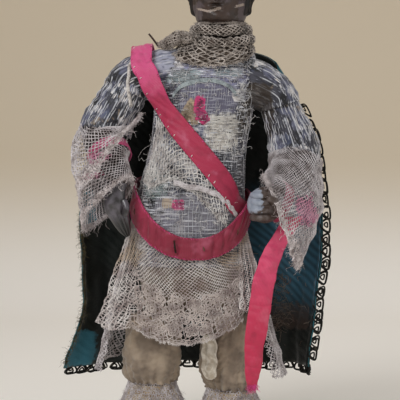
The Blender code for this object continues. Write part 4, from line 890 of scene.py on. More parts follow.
def leatherFinish(name, light, dark):
    f = Finish(name, 0.5, specular_ior_level=0.45)
    grain, blotch = f.cells(0.0009), f.noise(0.006, 4)
    colour = f.mix(f.step(blotch, 0.4, 0.7), dark, light)
    colour = f.mix(f.step(f.noise(0.0025, 4), 0.62, 0.75) * 0.5, colour, tone(0.42, 0.33, 0.25))
    return f.paint(colour, grain + blotch, 0.4, 0.0003, 0.38 + blotch * 0.3)


def woodFinish():
    f = Finish("dowelWood", 0.6)
    rings = f.wave(f.noise(0.004, 3, (1, 1, 0.15)), 0.16)
    return f.paint(f.mix(rings, colours["wood"], tone(0.46, 0.33, 0.20)), rings, 0.2, 0.0002)


def steelFinish():
    f = Finish("pinSteel", 0.4, metallic=0.85)
    rust = f.noise(0.0011, 3)
    colour = f.mix(f.step(rust, 0.45, 0.62), colours["steel"], tone(0.24, 0.13, 0.09))
    return f.paint(colour, rust, 0.3, 0.0001, 0.3 + rust * 0.4)


def clothPiece(name, cloth, thickness, size, finish, body="figure", replaces=()):
    points, faces, weave, bake = clothMesh(cloth, thickness, *size)
    return makePiece(name, points, faces, finish, body, replaces, weave, bake)


def loftPiece(name, rings, around, down, finish, body="figure", replaces=()):
    points, faces, weave = loftMesh(rings, around, down)
    return makePiece(name, points, faces, finish, body, replaces, weave)


def threadPiece(name, parts, finish, body="figure", replaces=()):
    points, faces = joined(parts)
    return makePiece(name, points, faces, finish, body, replaces, smooth=False)


def levelRings(x, y, z, wide, deep, sides=48, squareness=2.0, start=0.0):
    # level rings round a column of centres
    angle = np.linspace(0, turn, sides + 1)[:-1] + start
    across, back = superellipse(angle, squareness)
    x, y, z, wide, deep = (np.asarray(k, float)[:, None] for k in (x, y, z, wide, deep))
    return np.stack([x + wide * across, y + deep * back, z + 0 * across], axis=2)


# Torso and tunic

brocade, sleeveBrocade = brocadeFinish("brocade"), brocadeFinish("sleeveBrocade", True)
padding = clothFinish("padding", tone(0.50, 0.44, 0.36), tone(0.33, 0.28, 0.22))
tunic = {"rows": 150, "columns": 260, "coarse": 0.00024, "fine": 0.00010, "wall": 0.0011}
cloth = bodyCloth(90, 450, 0.2381, 0.108, tunic["columns"], tunic["rows"], -0.00065, True)
tunicCloth = wrinkled(cloth, tunic["coarse"], tunic["fine"], 3)
piece = clothPiece("tunicCloth", tunicCloth, tunic["wall"], (0.19, 0.13), brocade, "figure", ["tunic"])

height = np.linspace(0.0802, 0.2418, 60)
angle = np.linspace(0, turn, 73)[:-1]
core = torsoSpot(angle[None, :], height[:, None], -0.0020)
piece = loftPiece("torsoPadding", core, 0.18, 0.16, padding, "figure", ["torso_core"])


def floats(place, wide, tall, lean, spacing, length, radius, seed, depth=-0.024, heading=0.0, lift=0.0001):
    # raised threads side by side inside an ellipse on the chest, leaning with it, each of a random length
    random = np.random.default_rng(seed)
    x0, z0 = seen(*place, depth)
    reach = max(wide, tall)
    lines = np.arange(-reach, reach, spacing)
    start = np.arange(-reach, reach, length * 0.8)
    a, b = (k.ravel() for k in np.meshgrid(lines, start))
    a = a + random.normal(0, spacing * 0.12, len(a))
    b = b + random.uniform(-0.4, 0.4, len(b)) * length
    long = length * random.uniform(0.5, 1.0, len(a))
    t = np.linspace(-0.5, 0.5, 6)
    across = a[:, None] + random.normal(0, spacing * 0.10, (len(a), 6))
    down = b[:, None] + long[:, None] * t
    c, s = math.cos(heading), math.sin(heading)
    x, z = across * c - down * s, across * s + down * c
    keep = (x[:, 3] / wide) ** 2 + (z[:, 3] / tall) ** 2 < random.uniform(0.7, 1.1, len(a))
    x, z = x[keep], z[keep]
    c, s = math.cos(lean), math.sin(lean)
    x, z = x0 + x * c - z * s, z0 + x * s + z * c
    arc = radius * 1.3 * np.cos(t * math.pi)
    angle = frontAngle(x, z)
    path = torsoSpot(angle, z, lift + radius * 0.5 + arc)
    return threads(path, radius, 3, torsoOut(angle, z))


woven = {
    "pale": (paleThread, [
        ((166, 60), 0.0070, 0.0090, 0.5, 0.00085, 0.0040, 0.00020, 12),
        ((206, 72), 0.0250, 0.0050, 0.0, 0.0011, 0.0040, 0.00016, 13, -0.024, 1.57),
        ((155, 158), 0.0070, 0.0075, 0.2, 0.0008, 0.0045, 0.00020, 14),
        ((262, 74), 0.0075, 0.0110, 0.9, 0.0019, 0.0100, 0.00022, 18, -0.016),
        ((258, 80), 0.0075, 0.0110, -0.5, 0.0023, 0.0100, 0.00020, 19, -0.016),
        ((242, 95), 0.0050, 0.0034, 0.1, 0.0006, 0.0040, 0.00022, 20, -0.022, 1.57),
    ]),
    "mint": (mintThread, [
        ((182, 80), 0.0110, 0.0040, 0.0, 0.0008, 0.0040, 0.00020, 21, -0.024, 1.57),
        ((155, 186), 0.0060, 0.0065, 0.1, 0.0012, 0.0040, 0.00020, 23, -0.026, 1.57),
    ]),
    "rose": (roseThread, [
        ((199, 108), 0.0024, 0.0064, -0.1, 0.00045, 0.0024, 0.00022, 31, -0.026, 1.5),
        ((203, 117), 0.0024, 0.0038, 0.6, 0.00045, 0.0024, 0.00022, 33, -0.026, 1.5),
        ((178, 205), 0.0034, 0.0026, 0.0, 0.0005, 0.0022, 0.00020, 32, -0.028, 1.4),
    ]),
    "leaf": (leafThread, [
        ((188, 111), 0.0024, 0.0066, -0.5, 0.00045, 0.0024, 0.00022, 41, -0.026, -1.2),
        ((193, 117), 0.0018, 0.0046, 0.3, 0.00045, 0.0022, 0.00022, 42, -0.026, 1.2),
    ]),
    "cream": (creamThread, [
        ((222, 127), 0.0100, 0.0070, 0.0, 0.00062, 0.0050, 0.00020, 52, -0.025, 1.57),
        ((224, 141), 0.0085, 0.0048, 0.0, 0.00062, 0.0040, 0.00020, 53, -0.025, 0.0),
    ]),
}
for key, (finish, fills) in woven.items():
    threadPiece(key + "Floats", [floats(*fill) for fill in fills], finish)


def bodyThreads(count, long, radius, seed, upright, low=0.112, high=0.2365, front=False):
    # single threads of the weave standing up all over the tunic, down it or round it
    random = np.random.default_rng(seed)
    angle = random.uniform(math.radians(190), math.radians(350), count) if front else random.uniform(0, turn, count)
    if upright:
        angle = np.round(angle / 0.042) * 0.042 + random.normal(0, 0.002, count)
    height = random.uniform(low, high, count)
    t = np.linspace(-0.5, 0.5, 7) * (random.uniform(0.3, 1.0, (count, 1)) * long)
    up = np.clip(height[:, None] + (t if upright else random.normal(0, 0.00015, (count, 7))), low, high)
    way = angle[:, None] + (random.normal(0, 0.004, (count, 7)) if upright else t / 0.030)
    arc = radius * (0.4 + 1.2 * np.cos(np.linspace(-1.5, 1.5, 7)))
    return threads(torsoSpot(way, up, 0.0001 + arc), radius, 3, torsoOut(way, up))


threadPiece("warpThreads", [bodyThreads(420, 0.016, 0.00014, 61, True)], paleThread)
threadPiece("weftThreads", [bodyThreads(340, 0.0062, 0.00019, 62, False), bodyThreads(260, 0.0042, 0.00026, 63, False, front=True)],
            threadFinish("weftThread", tone(0.88, 0.88, 0.89), tone(0.20, 0.19, 0.20), 0.004))
arch = smoothPath([seen(x, y, -0.025) + (0,) for x, y in ((173, 97), (181, 88), (196, 83), (213, 82), (228, 87), (236, 96))], 60)
curves = [torsoSpot(frontAngle(arch[:, 0], arch[:, 1] + k), arch[:, 1] + k, 0.0005) for k in (0, 0.0008, 0.0016)]
threadPiece("archCord", [threads(np.array(curves), 0.00045, 5, (0, -1, 0.01))], mintThread)
random = np.random.default_rng(64)
angle, height = random.uniform(math.radians(195), math.radians(345), 420), random.uniform(0.125, 0.236, 420)
bare = (np.abs(height - sashLine(angle)) > 0.012) & (np.abs(height - beltLine(angle)) > 0.010)
angle, height = angle[bare], height[bare]
starts = torsoSpot(angle, height, 0.0003)
ways = torsoOut(angle, height) * 0.12 + random.normal(0, 0.7, starts.shape) * (1, 0.15, 1)
threadPiece("looseThreads", [fuzz(starts, ways, 0.0050, 0.00013, 65, 2.0, 0.3, 8)], chestThread)
print("torso and tunic done")

# Ribbons round the body

ribbon = {"width": 0.0125, "wall": 0.0008, "crease": 0.00055, "stitch": 0.0017}


def twisted(path, radius, turns, strands=3, sides=5):
    # strands wound round each other along a path
    side, upward, _ = pathFrames(path)
    t = np.linspace(0, turn * turns, len(path))[:, None]
    found = [path + radius * (side * np.cos(t + turn * k / strands) + upward * np.sin(t + turn * k / strands)) for k in range(strands)]
    return threads(np.array(found), radius * 0.95, sides, (0.11, 0.23, 0.97))


def creased(cloth, seed, depth=ribbon["crease"], gathers=()):
    # a ribbon's creases cross it where it bends, and die out at its edges
    v = np.linspace(0, 1, cloth.points.shape[0])[:, None]
    u = np.linspace(0, 0.19, cloth.points.shape[1])[None, :]
    flat = np.stack([u + v * 0.010, v * 0.0125 + 0 * u], axis=2)
    folds = np.abs(ripple(flat, 0.013, seed, 5)) ** 0.8 + 0.22 * np.abs(ripple(flat * (1, 0.35), 0.006, seed + 1, 7))
    share = np.linspace(0, 1, cloth.points.shape[1])[None, :]
    pinched = sum(0.9 * np.exp(-(((share - k + 0.004 * v) / 0.006) ** 2)) for k in gathers)
    return moved(cloth, depth * (folds - 1.7 * pinched) * np.sin(math.pi * v) ** 0.4)


def onBody(across, down, lift):
    # the place in front of the torso, by a lift, that shows at a spot of the picture
    y = -0.020
    for _ in range(8):
        x, z = seen(across, down, y)
        y = float(torsoSpot(frontAngle(x, z), z, lift)[1])
    return point(x, y, z)


def outward(place):
    # away from the torso, or from the head of the right sleeve where the sash runs over it
    if place[2] > 0.212 and place[0] < -0.018:
        return unit(point(-0.0022, place[1] + 0.0018, place[2] - 0.2225))
    return torsoOut(float(frontAngle(place[0], place[2])), place[2]) * (1, 1, 0.6)


ribbon["lift"] = 0.0018
back, side = ([(torsoSpot(a, sashLine(a), ribbon["lift"]), torsoOut(a, sashLine(a))) for a in np.radians(k)] for k in ((90, 115, 138), (350, 370, 393, 420, 450)))
over = [point(*k) for k in (
    (-0.0262, 0.0118, 0.2215), (-0.0305, 0.0085, 0.2318), (-0.0322, -0.0010, 0.2380), (-0.0324, -0.0112, 0.2345), (-0.0320, -0.0180, 0.2262),
)]
over += [point(seen(*k)[0], k[2], seen(*k)[1]) for k in ((147, 73, -0.0205), (152.5, 87, -0.0232))]
front = [onBody(*k) for k in ((165, 109, 0.0036), (179, 128, 0.0026), (198, 151, 0.0022), (213, 169, 0.0020), (226, 186, 0.0018), (235, 204, 0.0016))]
laceAngles = [float(frontAngle(k[0], k[2])) for k in front]
knots = back + [(k, outward(k)) for k in over + front] + side
track = smoothPath([np.concatenate([a, unit(b) * 0.004]) for a, b in knots], 300)
course, away = track[:, :3], unit(track[:, 3:])
across = unit(np.cross(np.gradient(course, axis=0), away))
v = np.linspace(-0.5, 0.5, 18)[:, None, None]
sashCloth = creased(Cloth(course + across * v * ribbon["width"], True, axis), 5)


def laceLine(a):
    return np.interp(a, laceAngles, [k[2] for k in front])


angle, v = np.radians(np.linspace(90, 450, 300))[None, :], np.linspace(0, 1, 18)[:, None]
height = beltLine(angle) + halfRise(beltLine, angle) * (1 - 2 * v)
beltCloth = creased(Cloth(torsoSpot(angle + 0 * v, height, 0.0030), True, axis), 8, 0.0008, (0.385, 0.415, 0.434, 0.476, 0.517, 0.56, 0.59))


def stitches(cloth, v, first, last, count, reach, radius, seed, lift, lean=0.0):
    # short threads over an edge of a ribbon, one after another
    random = np.random.default_rng(seed)
    u = np.linspace(first, last, count) + random.normal(0, 0.2 / count, count)
    t = np.linspace(-1, 1, 5)
    v = v + np.outer(random.uniform(0.7, 1.1, count), t) * reach
    u = u[:, None] + lean * t + 0 * v
    path = cloth.spot(u, np.clip(v, 0, 1), lift + radius * (1.2 - 1.4 * t**2))
    return threads(path, radius, 4, cloth.spot(u, np.clip(v, 0, 1), 1.0) - cloth.spot(u, np.clip(v, 0, 1)))


for name, cloth, finish, node in (("sashRibbon", sashCloth, sashSilk, "sash"), ("beltRibbon", beltCloth, beltSilk, "belt")):
    size = clothSize(cloth)
    piece = clothPiece(name, cloth, ribbon["wall"], size, finish, "figure", [node])
threadPiece("darkStitches", [
    stitches(sashCloth, 0.05, 0.30, 0.70, 9, 0.03, 0.00014, 2, 0.0005, 0.0006),
    stitches(beltCloth, 0.5, 0.497, 0.503, 3, 0.10, 0.0003, 3, 0.0005, 0.001),
], brownThread)
threadPiece("paleStitches", [stitches(sashCloth, 0.86, 0.30, 0.68, 12, 0.05, 0.00022, 12, 0.0006, 0.0006)], creamThread)
spot = [point(seen(px, py, y)[0], y, seen(px, py, y)[1]) for px, py, y in ((149, 34, -0.0040), (153, 39, -0.0050), (158, 46, -0.0062))]
steel = steelFinish()
threadPiece("shoulderPin", [threads(np.array(spot)[None], 0.00062, 8)], steel, "figure", ["shoulder_pin"])
pinAngle = float(frontAngle(*seen(176, 246, -0.030)))
spots = torsoSpot(pinAngle + np.array([-0.012, 0.0, 0.012]), beltLine(pinAngle) + np.array([0.0034, 0.0, -0.0034]), np.array([0.0042, 0.0056, 0.0042]))
threadPiece("beltPin", [threads(spots[None], 0.00062, 8)], steel, "figure", ["belt_pin"])
threadPiece("edgeLoops", [
    stitches(sashCloth, 0.94, 0.28, 0.72, 40, 0.05, 0.00012, 4, 0.0005, 0.0016),
    stitches(sashCloth, 0.04, 0.28, 0.72, 40, 0.03, 0.00012, 5, 0.0005, -0.0016),
    stitches(beltCloth, 0.96, 0.20, 0.80, 120, 0.03, 0.00015, 6, 0.0005, 0.0010),
    stitches(beltCloth, 0.04, 0.20, 0.80, 120, 0.03, 0.00015, 7, 0.0005, 0.0010),
], pinkThread)
rollPath = np.array([onBody(*k) for k in ((174, 182, 0.0022), (188, 187, 0.0024), (203, 189, 0.0026), (216, 195, 0.0028), (228, 204, 0.0030), (236, 214, 0.0034))])
rollPath = smoothPath(rollPath, 160)
rollPath = rollPath + 0.0004 * np.stack([ripple(rollPath, 0.004, 75 + k) for k in range(3)], axis=1)
threadPiece("laceRoll", [twisted(rollPath, 0.00055, 15, 4), twisted(rollPath + (0, -0.0003, 0.0011), 0.00036, 21, 3), twisted(rollPath + (0, -0.0001, -0.0010), 0.0003, 17, 3)], laceThread)
print("ribbons done")

# Lace on the body

chest = {"pitch": 0.0029, "thread": 0.00036, "fray": 170}
cloth = bodyCloth(205, 309, lambda a: laceLine(a) - 0.004,
                  lambda a: laceLine(a) - 0.0235 - 0.022 * np.exp(-(((np.degrees(a) - 218) / 26) ** 2)), 120, 40, 0.0009)
chestCloth = wrinkled(cloth, 0.00012, 0.00005, 9, 0.01)
size = clothSize(chestCloth)
piece = makeLace("chestNet", chestCloth, *size, net(*size, chest["pitch"], chest["thread"], 0.25, 4, jitter=0.25, stagger=True)
                 + picots(*size, 0.0012, 0.0005, 0.00022, 5, lambda x: size[1] - 0.0006 + 0.0004 * np.sin(x * 900)),
                 chestThread, "net_lace", "figure", ["chest_lace"])
random = np.random.default_rng(12)
u, v = random.uniform(0.02, 0.98, chest["fray"]), random.uniform(0.75, 1.0, chest["fray"])
starts = chestCloth.spot(u, v, 0.0003)
ways = unit(random.normal(0, 1, (chest["fray"], 3)) + point(-0.2, -1.4, -0.9))
threadPiece("chestFray", [fuzz(starts, ways, 0.0045, 0.00016, 3, 1.3)], chestThread)

apron = {"pitch": 0.00165, "thread": 0.00026, "flower": 0.0052, "scallop": 0.0088}
hems = {
    "apron": (214, 324, ((-0.0450, -0.0255, 0.0760), (-0.0120, -0.0325, 0.0640), (0.0230, -0.0265, 0.0780)), 5),
    "side_lace": (190, 214, ((-0.0630, -0.0130, 0.0770), (-0.0550, -0.0210, 0.0720), (-0.0430, -0.0262, 0.0740)), 5),
    "waist_ruffle": (327, 347, ((0.0200, -0.0285, 0.0860), (0.0280, -0.0265, 0.0830), (0.0370, -0.0190, 0.0880)), 4),
    "right_underskirt": (150, 190, ((-0.0520, 0.0220, 0.0500), (-0.0640, 0.0080, 0.0470), (-0.0620, -0.0080, 0.0450)), 3),
    "left_underskirt": (350, 395, ((0.0400, -0.0170, 0.0430), (0.0475, 0, 0.0430), (0.0420, 0.0200, 0.0510)), 3),
}


cloth = hungCloth(*hems["apron"][:3], 120, 60, hems["apron"][3], 0.0013, 3, 0.0006)
size = clothSize(cloth)
width, length = size
edge = lambda x: length - 0.0012 + 0.0011 * np.abs(np.sin(x * math.pi / apron["scallop"]))
inside = lambda x, y: y < edge(x)
flowered = lattice(width, length - 0.004, apron["flower"] * 1.9, 8, length * 0.56, 0.12)
flowered = flowered[(flowered[:, 0] > 0.004) & (flowered[:, 0] < width - 0.003) & (flowered[:, 1] < length - 0.0035)]


def clear(x, y):  # inside the figured part and off its flowers
    miss = np.min(np.hypot(x[:, None] - flowered[:, 0], y[:, None] - flowered[:, 1]), axis=1)
    return (y > length * 0.46) & inside(x, y) & (miss > apron["flower"] * 0.80)


top = net(width, length, apron["pitch"], apron["thread"], 0.62, 6, lambda x, y: inside(x, y) & (y < length * 0.50))
fine = net(width, length, 0.0031, 0.00024, 0.3, 7, lambda x, y: inside(x, y) & (y > length * 0.47), stagger=True)
parts = top + fine + picots(width, length, 0.0012, 0.0006, 0.00024, 10, edge)
piece = makeLace("apronNet", cloth, *size, parts, apronThread, "floral_lace", "figure", ["apron"])
apronCloth = cloth
places = lattice(width, length, 0.0046, 11, length * 0.49)
places = places[clear(*places.T)]
parts = flowers(flowered, apron["flower"], 5, 0.00028, 9)
parts += [rings(places[::3], np.full(len(places[::3]), 0.0016), 0.00038, 12, 12, 0.06)]
t = np.linspace(0, 1, 40)
scrolls = []
for k, x in enumerate(np.arange(0.004, width - 0.004, 0.0130)):
    for sign in (1, -1):
        curl = 0.0040 * (1 - 0.70 * t)
        angle = sign * (t * 5.5 + 0.4) + k
        scrolls.append(np.stack([x + curl * np.cos(angle), length * 0.545 + 0.0042 * sign + curl * np.sin(angle), 0.0002 + 0 * t], axis=1))
parts.append(threads(np.array(scrolls), 0.00036))
x = np.linspace(0.0005, width - 0.0005, 500)
for drop in (0.0002, 0.0012, 0.0024):
    parts.append(threads(np.stack([x, edge(x) - drop, 0.0002 + 0 * x], axis=1)[None], 0.00026))
makeLace("apronFlowers", cloth, *size, parts, figureThread, "floral_lace")

for name, pitch, thread, finish, slot, depth in (
    ("side_lace", 0.0019, 0.00028, apronThread, "net_lace", 0.0024),
    ("waist_ruffle", 0.0015, 0.00027, apronThread, "floral_lace", 0.0040),
    ("right_underskirt", 0.0019, 0.00027, laceThread, "net_lace", 0.0011),
    ("left_underskirt", 0.0019, 0.00027, laceThread, "net_lace", 0.0011),
):
    first, last, hem, folds = hems[name]
    cloth = hungCloth(first, last, hem, 70, 50, folds, depth, 17, 0.0006)
    width, length = size = clothSize(cloth)
    parts = net(width, length, pitch, thread, 0.4, 16) + picots(width, length, 0.0011, 0.0005, 0.0002, 17)
    places = lattice(width, length, 0.0034, 18, length * 0.7)
    parts.append(rings(places, np.full(len(places), 0.0008), 0.0002, 19, 8))

    shown = name.replace("_lace", "Lace").replace("_ruffle", "Ruffle").replace("_underskirt", "Underskirt")
    piece = makeLace(shown, cloth, *size, parts, finish, slot, "figure", [name])
    "gathered" if "skirt" not in name else "hung"
print("hung lace done")

# Collar

collar = {"pitch": 0.0018, "thread": 0.00029, "crumple": 0.00055, "layers": 1}


def widened(parts, share):  # thread work pulled out sideways
    return [(p * (share, 1, 1), q, c) for p, q, c in parts]


def collarLow(a):
    return 0.242 - 0.0062 - 0.0105 * np.maximum(-np.sin(a), 0) ** 1.5


parts, low = [], bodyCloth(90, 450, 0.2408, collarLow, 200, 24, 0.0018, True)
size = (0.104, 0.014)
piece = clothPiece("collarCloth", wrinkled(moved(low, -0.0008), 0.0001, 0.0001, 21), 0.0008, size,
                   clothFinish("collarGround", tone(0.33, 0.28, 0.24), tone(0.16, 0.13, 0.11)), "figure", ["collar_lower"])
for k in range(collar["layers"]):
    cloth = wrinkled(moved(low, 0.0006 + 0.0009 * k), collar["crumple"], 0.0004, 23 + 2 * k, 0.009)
    parts = widened(net(size[0] / 1.5, size[1], collar["pitch"], collar["thread"], 0.7 + 0.25 * k, 24 + k, jitter=0.22), 1.5)
    parts += [worms(90, *size, 0.0007, 0.00018, 27 + k, 9)] + picots(*size, 0.0010, 0.0006, 0.00018, 28 + k)
    makeLace(f"collarNet{k}", cloth, *size, parts, collarThread, "floral_lace")
ringPath = np.linspace(0, turn, 181)[:, None]
ringPath = np.hstack([0.0095 + 0.0157 * np.cos(ringPath), 0.0157 * np.sin(ringPath), 0.2474 + 0 * ringPath]) + shift
ringPath[:, 2] -= 0.0006 * (1 + np.sin(3 * np.linspace(0, turn, 181)))
fringed = 0.0029 + 0.0004 * ripple(ringPath, 0.012, 31)[:, None]
upper = tubeCloth(ringPath, fringed, 25, (0.0, 0.0, 1.0))
size = (0.0190, 0.0917)
piece = clothPiece("neckBand", tubeCloth(ringPath, fringed * 0.70, 25, (0.0, 0.0, 1.0)), 0.0006, size,
                   clothFinish("neckGround", tone(0.28, 0.23, 0.20), tone(0.12, 0.10, 0.08)), "figure", ["collar_upper"])
for k in range(1):
    cloth = wrinkled(moved(upper, 0.0003 * k), 0.0005, 0.0004, 33 + k, 0.006)
    parts = net(*size, 0.00180, 0.00029, 0.9, 34, jitter=0.16) + [worms(60, *size, 0.0008, 0.00018, 36, 9)]
    makeLace(f"neckNet{k}", cloth, *size, parts, collarThread, "floral_lace")
wrap = ringPath * (1, 1, 1) + (0, 0, -0.0047)
wrap[:, :2] = wrap[:, :2] + (wrap[:, :2] - ringPath[:, :2].mean(axis=0)) * 0.14
wrap[:, 2] -= 0.0022 * np.clip(-(wrap[:, 1] - shift[1]) / 0.016, 0, 1)
middleWrap = tubeCloth(wrap, fringed * 0.85, 25, (0.0, 0.0, 1.0))
wrapSize = (0.0155, 0.102)
clothPiece("neckWrap", moved(middleWrap, -0.0007), 0.0006, wrapSize, bpy.data.materials["neckGround"])
for k in range(1):
    cloth = wrinkled(moved(middleWrap, 0.0004 * k), 0.0005, 0.0004, 38 + k, 0.006)
    parts = net(*wrapSize, 0.00175, 0.00029, 0.9, 39, jitter=0.16) + [worms(70, *wrapSize, 0.0007, 0.00018, 40, 8)]
    makeLace(f"wrapNet{k}", cloth, *wrapSize, parts, collarThread, "floral_lace")
random = np.random.default_rng(41)
a = random.uniform(0, turn, 420)
starts = np.stack([0.0095 + 0.0146 * np.cos(a), 0.0146 * np.sin(a), 0.2502 + 0 * a], axis=1) + shift
ways = np.stack([np.cos(a) * 0.5, np.sin(a) * 0.5, 0.9 + 0 * a], axis=1) + random.normal(0, 0.5, (420, 3))
picot = rings(np.stack([a * 0.0146, 0 * a], axis=1), random.uniform(0.0004, 0.0008, 420), 0.00017, 42, 7)
p = picot[0]
around, rise = p[:, 0] / 0.0146, p[:, 1] + 0.0009
placed = np.stack([0.0095 + (0.0148 + p[:, 2]) * np.cos(around), (0.0148 + p[:, 2]) * np.sin(around), 0.2502 + rise], axis=1) + shift
threadPiece("neckPicots", [fuzz(starts, ways, 0.0022, 0.00013, 43, 1.0, 0.1), (placed, picot[1], picot[2])], collarThread)

share = np.linspace(-1, 1, 40)
bunchRadius = 0.0043 * np.sqrt(np.maximum(1 - share**2, 0.02)) * (1 - 0.25 * share)
bunchPath = smoothPath(((-0.0030, -0.0140, 0.2425), (-0.0100, -0.0128, 0.2424), (-0.0160, -0.0100, 0.2402), (-0.0215, -0.0070, 0.2380)), 40)
bunch = tubeCloth(bunchPath, bunchRadius * 0.8, 41, (0.0, 0.0, 1.0), 0.72)
piece = clothPiece("bunchCloth", wrinkled(bunch, 0.0003, 0.0002, 44, 0.008), 0.0006, (0.022, 0.016), bpy.data.materials["collarGround"], "figure", ["collar_bunch"])
for k in range(2):
    cloth = wrinkled(moved(bunch, 0.0008 + 0.0004 * k), 0.0005, 0.0004, 45 + k, 0.006)
    parts = net(0.024, 0.017, 0.0014, 0.0002, 0.4 + k, 46 + k, jitter=0.2) + [worms(130, 0.024, 0.017, 0.0005, 0.00015, 48 + k)]
    makeLace(f"bunchNet{k}", cloth, 0.024, 0.017, parts, collarThread, "floral_lace")
print("collar done")

# Head

headSize = {"height": 0.0577, "halfWidth": 0.0172, "halfDepth": 0.0200, "turned": -10.0}
headShares = (
    (0, 0.64, 0.56, 0.56), (0.1, 0.63, 0.56, 0.58), (0.15, 0.72, 0.74, 0.62), (0.185, 0.82, 0.89, 0.66),
    (0.26, 0.92, 0.93, 0.76), (0.34, 0.97, 0.94, 0.90), (0.48, 1, 0.93, 1.02), (0.62, 1, 0.90, 1.08),
    (0.76, 0.97, 0.84, 1.05), (0.88, 0.80, 0.66, 0.88), (0.96, 0.50, 0.40, 0.56), (0.992, 0.22, 0.18, 0.24),
    (1, 0.01, 0.01, 0.01),
)
headBumps = (  # direction and spread in degrees, height and reach as shares, spread up
    (270, 0.435, 0.22, 8, 0.050), (270, 0.500, 0.10, 6, 0.070), (262, 0.405, 0.07, 4, 0.018),
    (278, 0.405, 0.07, 4, 0.018), (270, 0.215, 0.07, 14, 0.035), (270, 0.352, 0.07, 13, 0.015),
    (270, 0.306, 0.08, 11, 0.017), (270, 0.329, -0.07, 15, 0.007), (270, 0.378, -0.03, 3, 0.014),
    (270, 0.270, -0.04, 12, 0.012), (270, 0.640, 0.07, 34, 0.040), (302, 0.440, 0.05, 14, 0.080),
    (238, 0.440, 0.05, 14, 0.080), (294, 0.545, -0.10, 10, 0.035), (246, 0.545, -0.10, 10, 0.035),
    (294, 0.545, 0.07, 8, 0.020), (246, 0.545, 0.07, 8, 0.020), (294, 0.600, 0.04, 10, 0.010),
    (246, 0.600, 0.04, 10, 0.010), (4, 0.470, 0.21, 7, 0.070), (176, 0.470, 0.21, 7, 0.070),
    (2, 0.475, -0.09, 4, 0.040), (178, 0.475, -0.09, 4, 0.040), (287, 0.335, 0.03, 4, 0.02),
    (253, 0.335, 0.03, 4, 0.02),
)


def headSpots(angle, height, lift):
    half, front, back = along(headShares, height)
    c, s = np.cos(angle), np.sin(angle)
    deep = np.where(s < 0, front, back) * headSize["halfDepth"]
    x, y = half * headSize["halfWidth"] * c, deep * s
    crown = ease(0.93, 1.0, height)
    reach = lift * (1 - crown) / headSize["halfDepth"]
    degrees = np.degrees(angle) % 360
    for way, high, out, spread, tall in headBumps:
        off = (degrees - way + 180) % 360 - 180
        reach = reach + out * np.exp(-((off / spread) ** 2) - ((height - high) / tall) ** 2)
    size = np.maximum(np.hypot(x, y), 1e-9)
    x, y = x * (1 + reach * headSize["halfDepth"] / size), y * (1 + reach * headSize["halfDepth"] / size)
    c, s = math.cos(math.radians(headSize["turned"])), math.sin(math.radians(headSize["turned"]))
    z = 0.2423 + height * headSize["height"] + lift * crown
    return np.stack([0.0095 + x * c - y * s, x * s + y * c, z + 0 * x], axis=2) + shift


angle, height = np.linspace(0, turn, 181)[None, :-1], np.append(np.linspace(0.002, 0.965, 130), 1 - 0.03 * np.linspace(1, 0, 14) ** 2)[:, None]
skin = headSpots(angle, height, 0 * angle * height)
skin = headSpots(angle, height, 0.00018 * ripple(skin, 0.006, 51))
faceFinish = skinFinish()
loftPiece("headSkin", skin, 0.115, 0.058, faceFinish, "head", ["head"])
hairEdge = ease(62, 76, np.abs((np.degrees(angle) % 360) - 270)) + ease(0.76, 0.82, height)
hairShown = np.clip(hairEdge, 0, 1) * ease(0.20, 0.26, height)
locks = (1 - ease(0.98, 1.0, height)) * np.abs(np.sin(angle * 26 + 3 * ripple(skin, 0.02, 52))) * 0.0007 + 0.0003 * ripple(skin * (1, 1, 0.4), 0.003, 53)
hair = headSpots(angle, height, -0.0016 + hairShown * (0.0028 + locks))
hairFinish = Finish("hairPaint", 0.5, specular_ior_level=0.4)
strand = hairFinish.noise(0.0012, 3, (1, 1, 0.25))
hairFinish.paint(hairFinish.mix(hairFinish.step(strand, 0.4, 0.65), colours["black"], tone(0.16, 0.12, 0.10)), strand, 0.5, 0.0004)
loftPiece("hair", hair, 0.12, 0.06, hairFinish.material, "head")


def headPlace(way, high, lift=0.0):
    return headSpots(np.radians(np.array([[way]], float)), np.array([[high]], float), np.array([[lift]], float))[0, 0]


def ballRings(centre, radius, stretch=(1, 1, 1), sides=24, count=14):
    angle = np.linspace(0.03, math.pi - 0.03, count)
    wide = radius * np.sin(angle)
    rings = levelRings(0 * angle, 0 * angle, -radius * np.cos(angle), wide, wide, sides)
    return rings * np.asarray(stretch) + centre


eyeFinish = Finish("eyePaint", 0.25, coat_weight=0.4)
for way in (294, 246):
    centre = headPlace(way, 0.545, -0.0019)
    looking = unit(headPlace(way, 0.545, 0.001) - centre) * (0.4, 1, 0.2)
    loftPiece(f"eye{way}", ballRings(centre, 0.0026, (1.15, 1, 0.62)), 0.01, 0.005, eyeFinish.material, "head")
    iris = eyeFinish.patch((centre[0] - 0.0003, centre[2]), 0.0011, 0.0011, 0.05)
    shade = eyeFinish.mix(iris, tone(0.70, 0.66, 0.58), tone(0.08, 0.05, 0.04)) if way == 294 else eyeFinish.mix(iris, shade, tone(0.08, 0.05, 0.04))
eyeFinish.paint(shade, eyeFinish.noise(0.001), 0.1, 0.0001)
print("head done")

# Arms

sleeve = {"ridges": 36, "ridge": 0.00010, "coarse": 0.0009, "fine": 0.00022, "wall": 0.0009}


def onFront(cloth, spots, lift=0.0):
    # the places of a cloth nearest to (x, z) spots on the side that faces the front
    p, n = cloth.points.reshape(-1, 3), cloth.normals.reshape(-1, 3)
    found = []
    for x, z in spots:
        miss = np.hypot(p[:, 0] - x, p[:, 2] - z) + np.where(n[:, 1] < -0.05, 0, 0.05)
        k = int(miss.argmin())
        found.append(p[k] + n[k] * lift)
    return np.array(found)


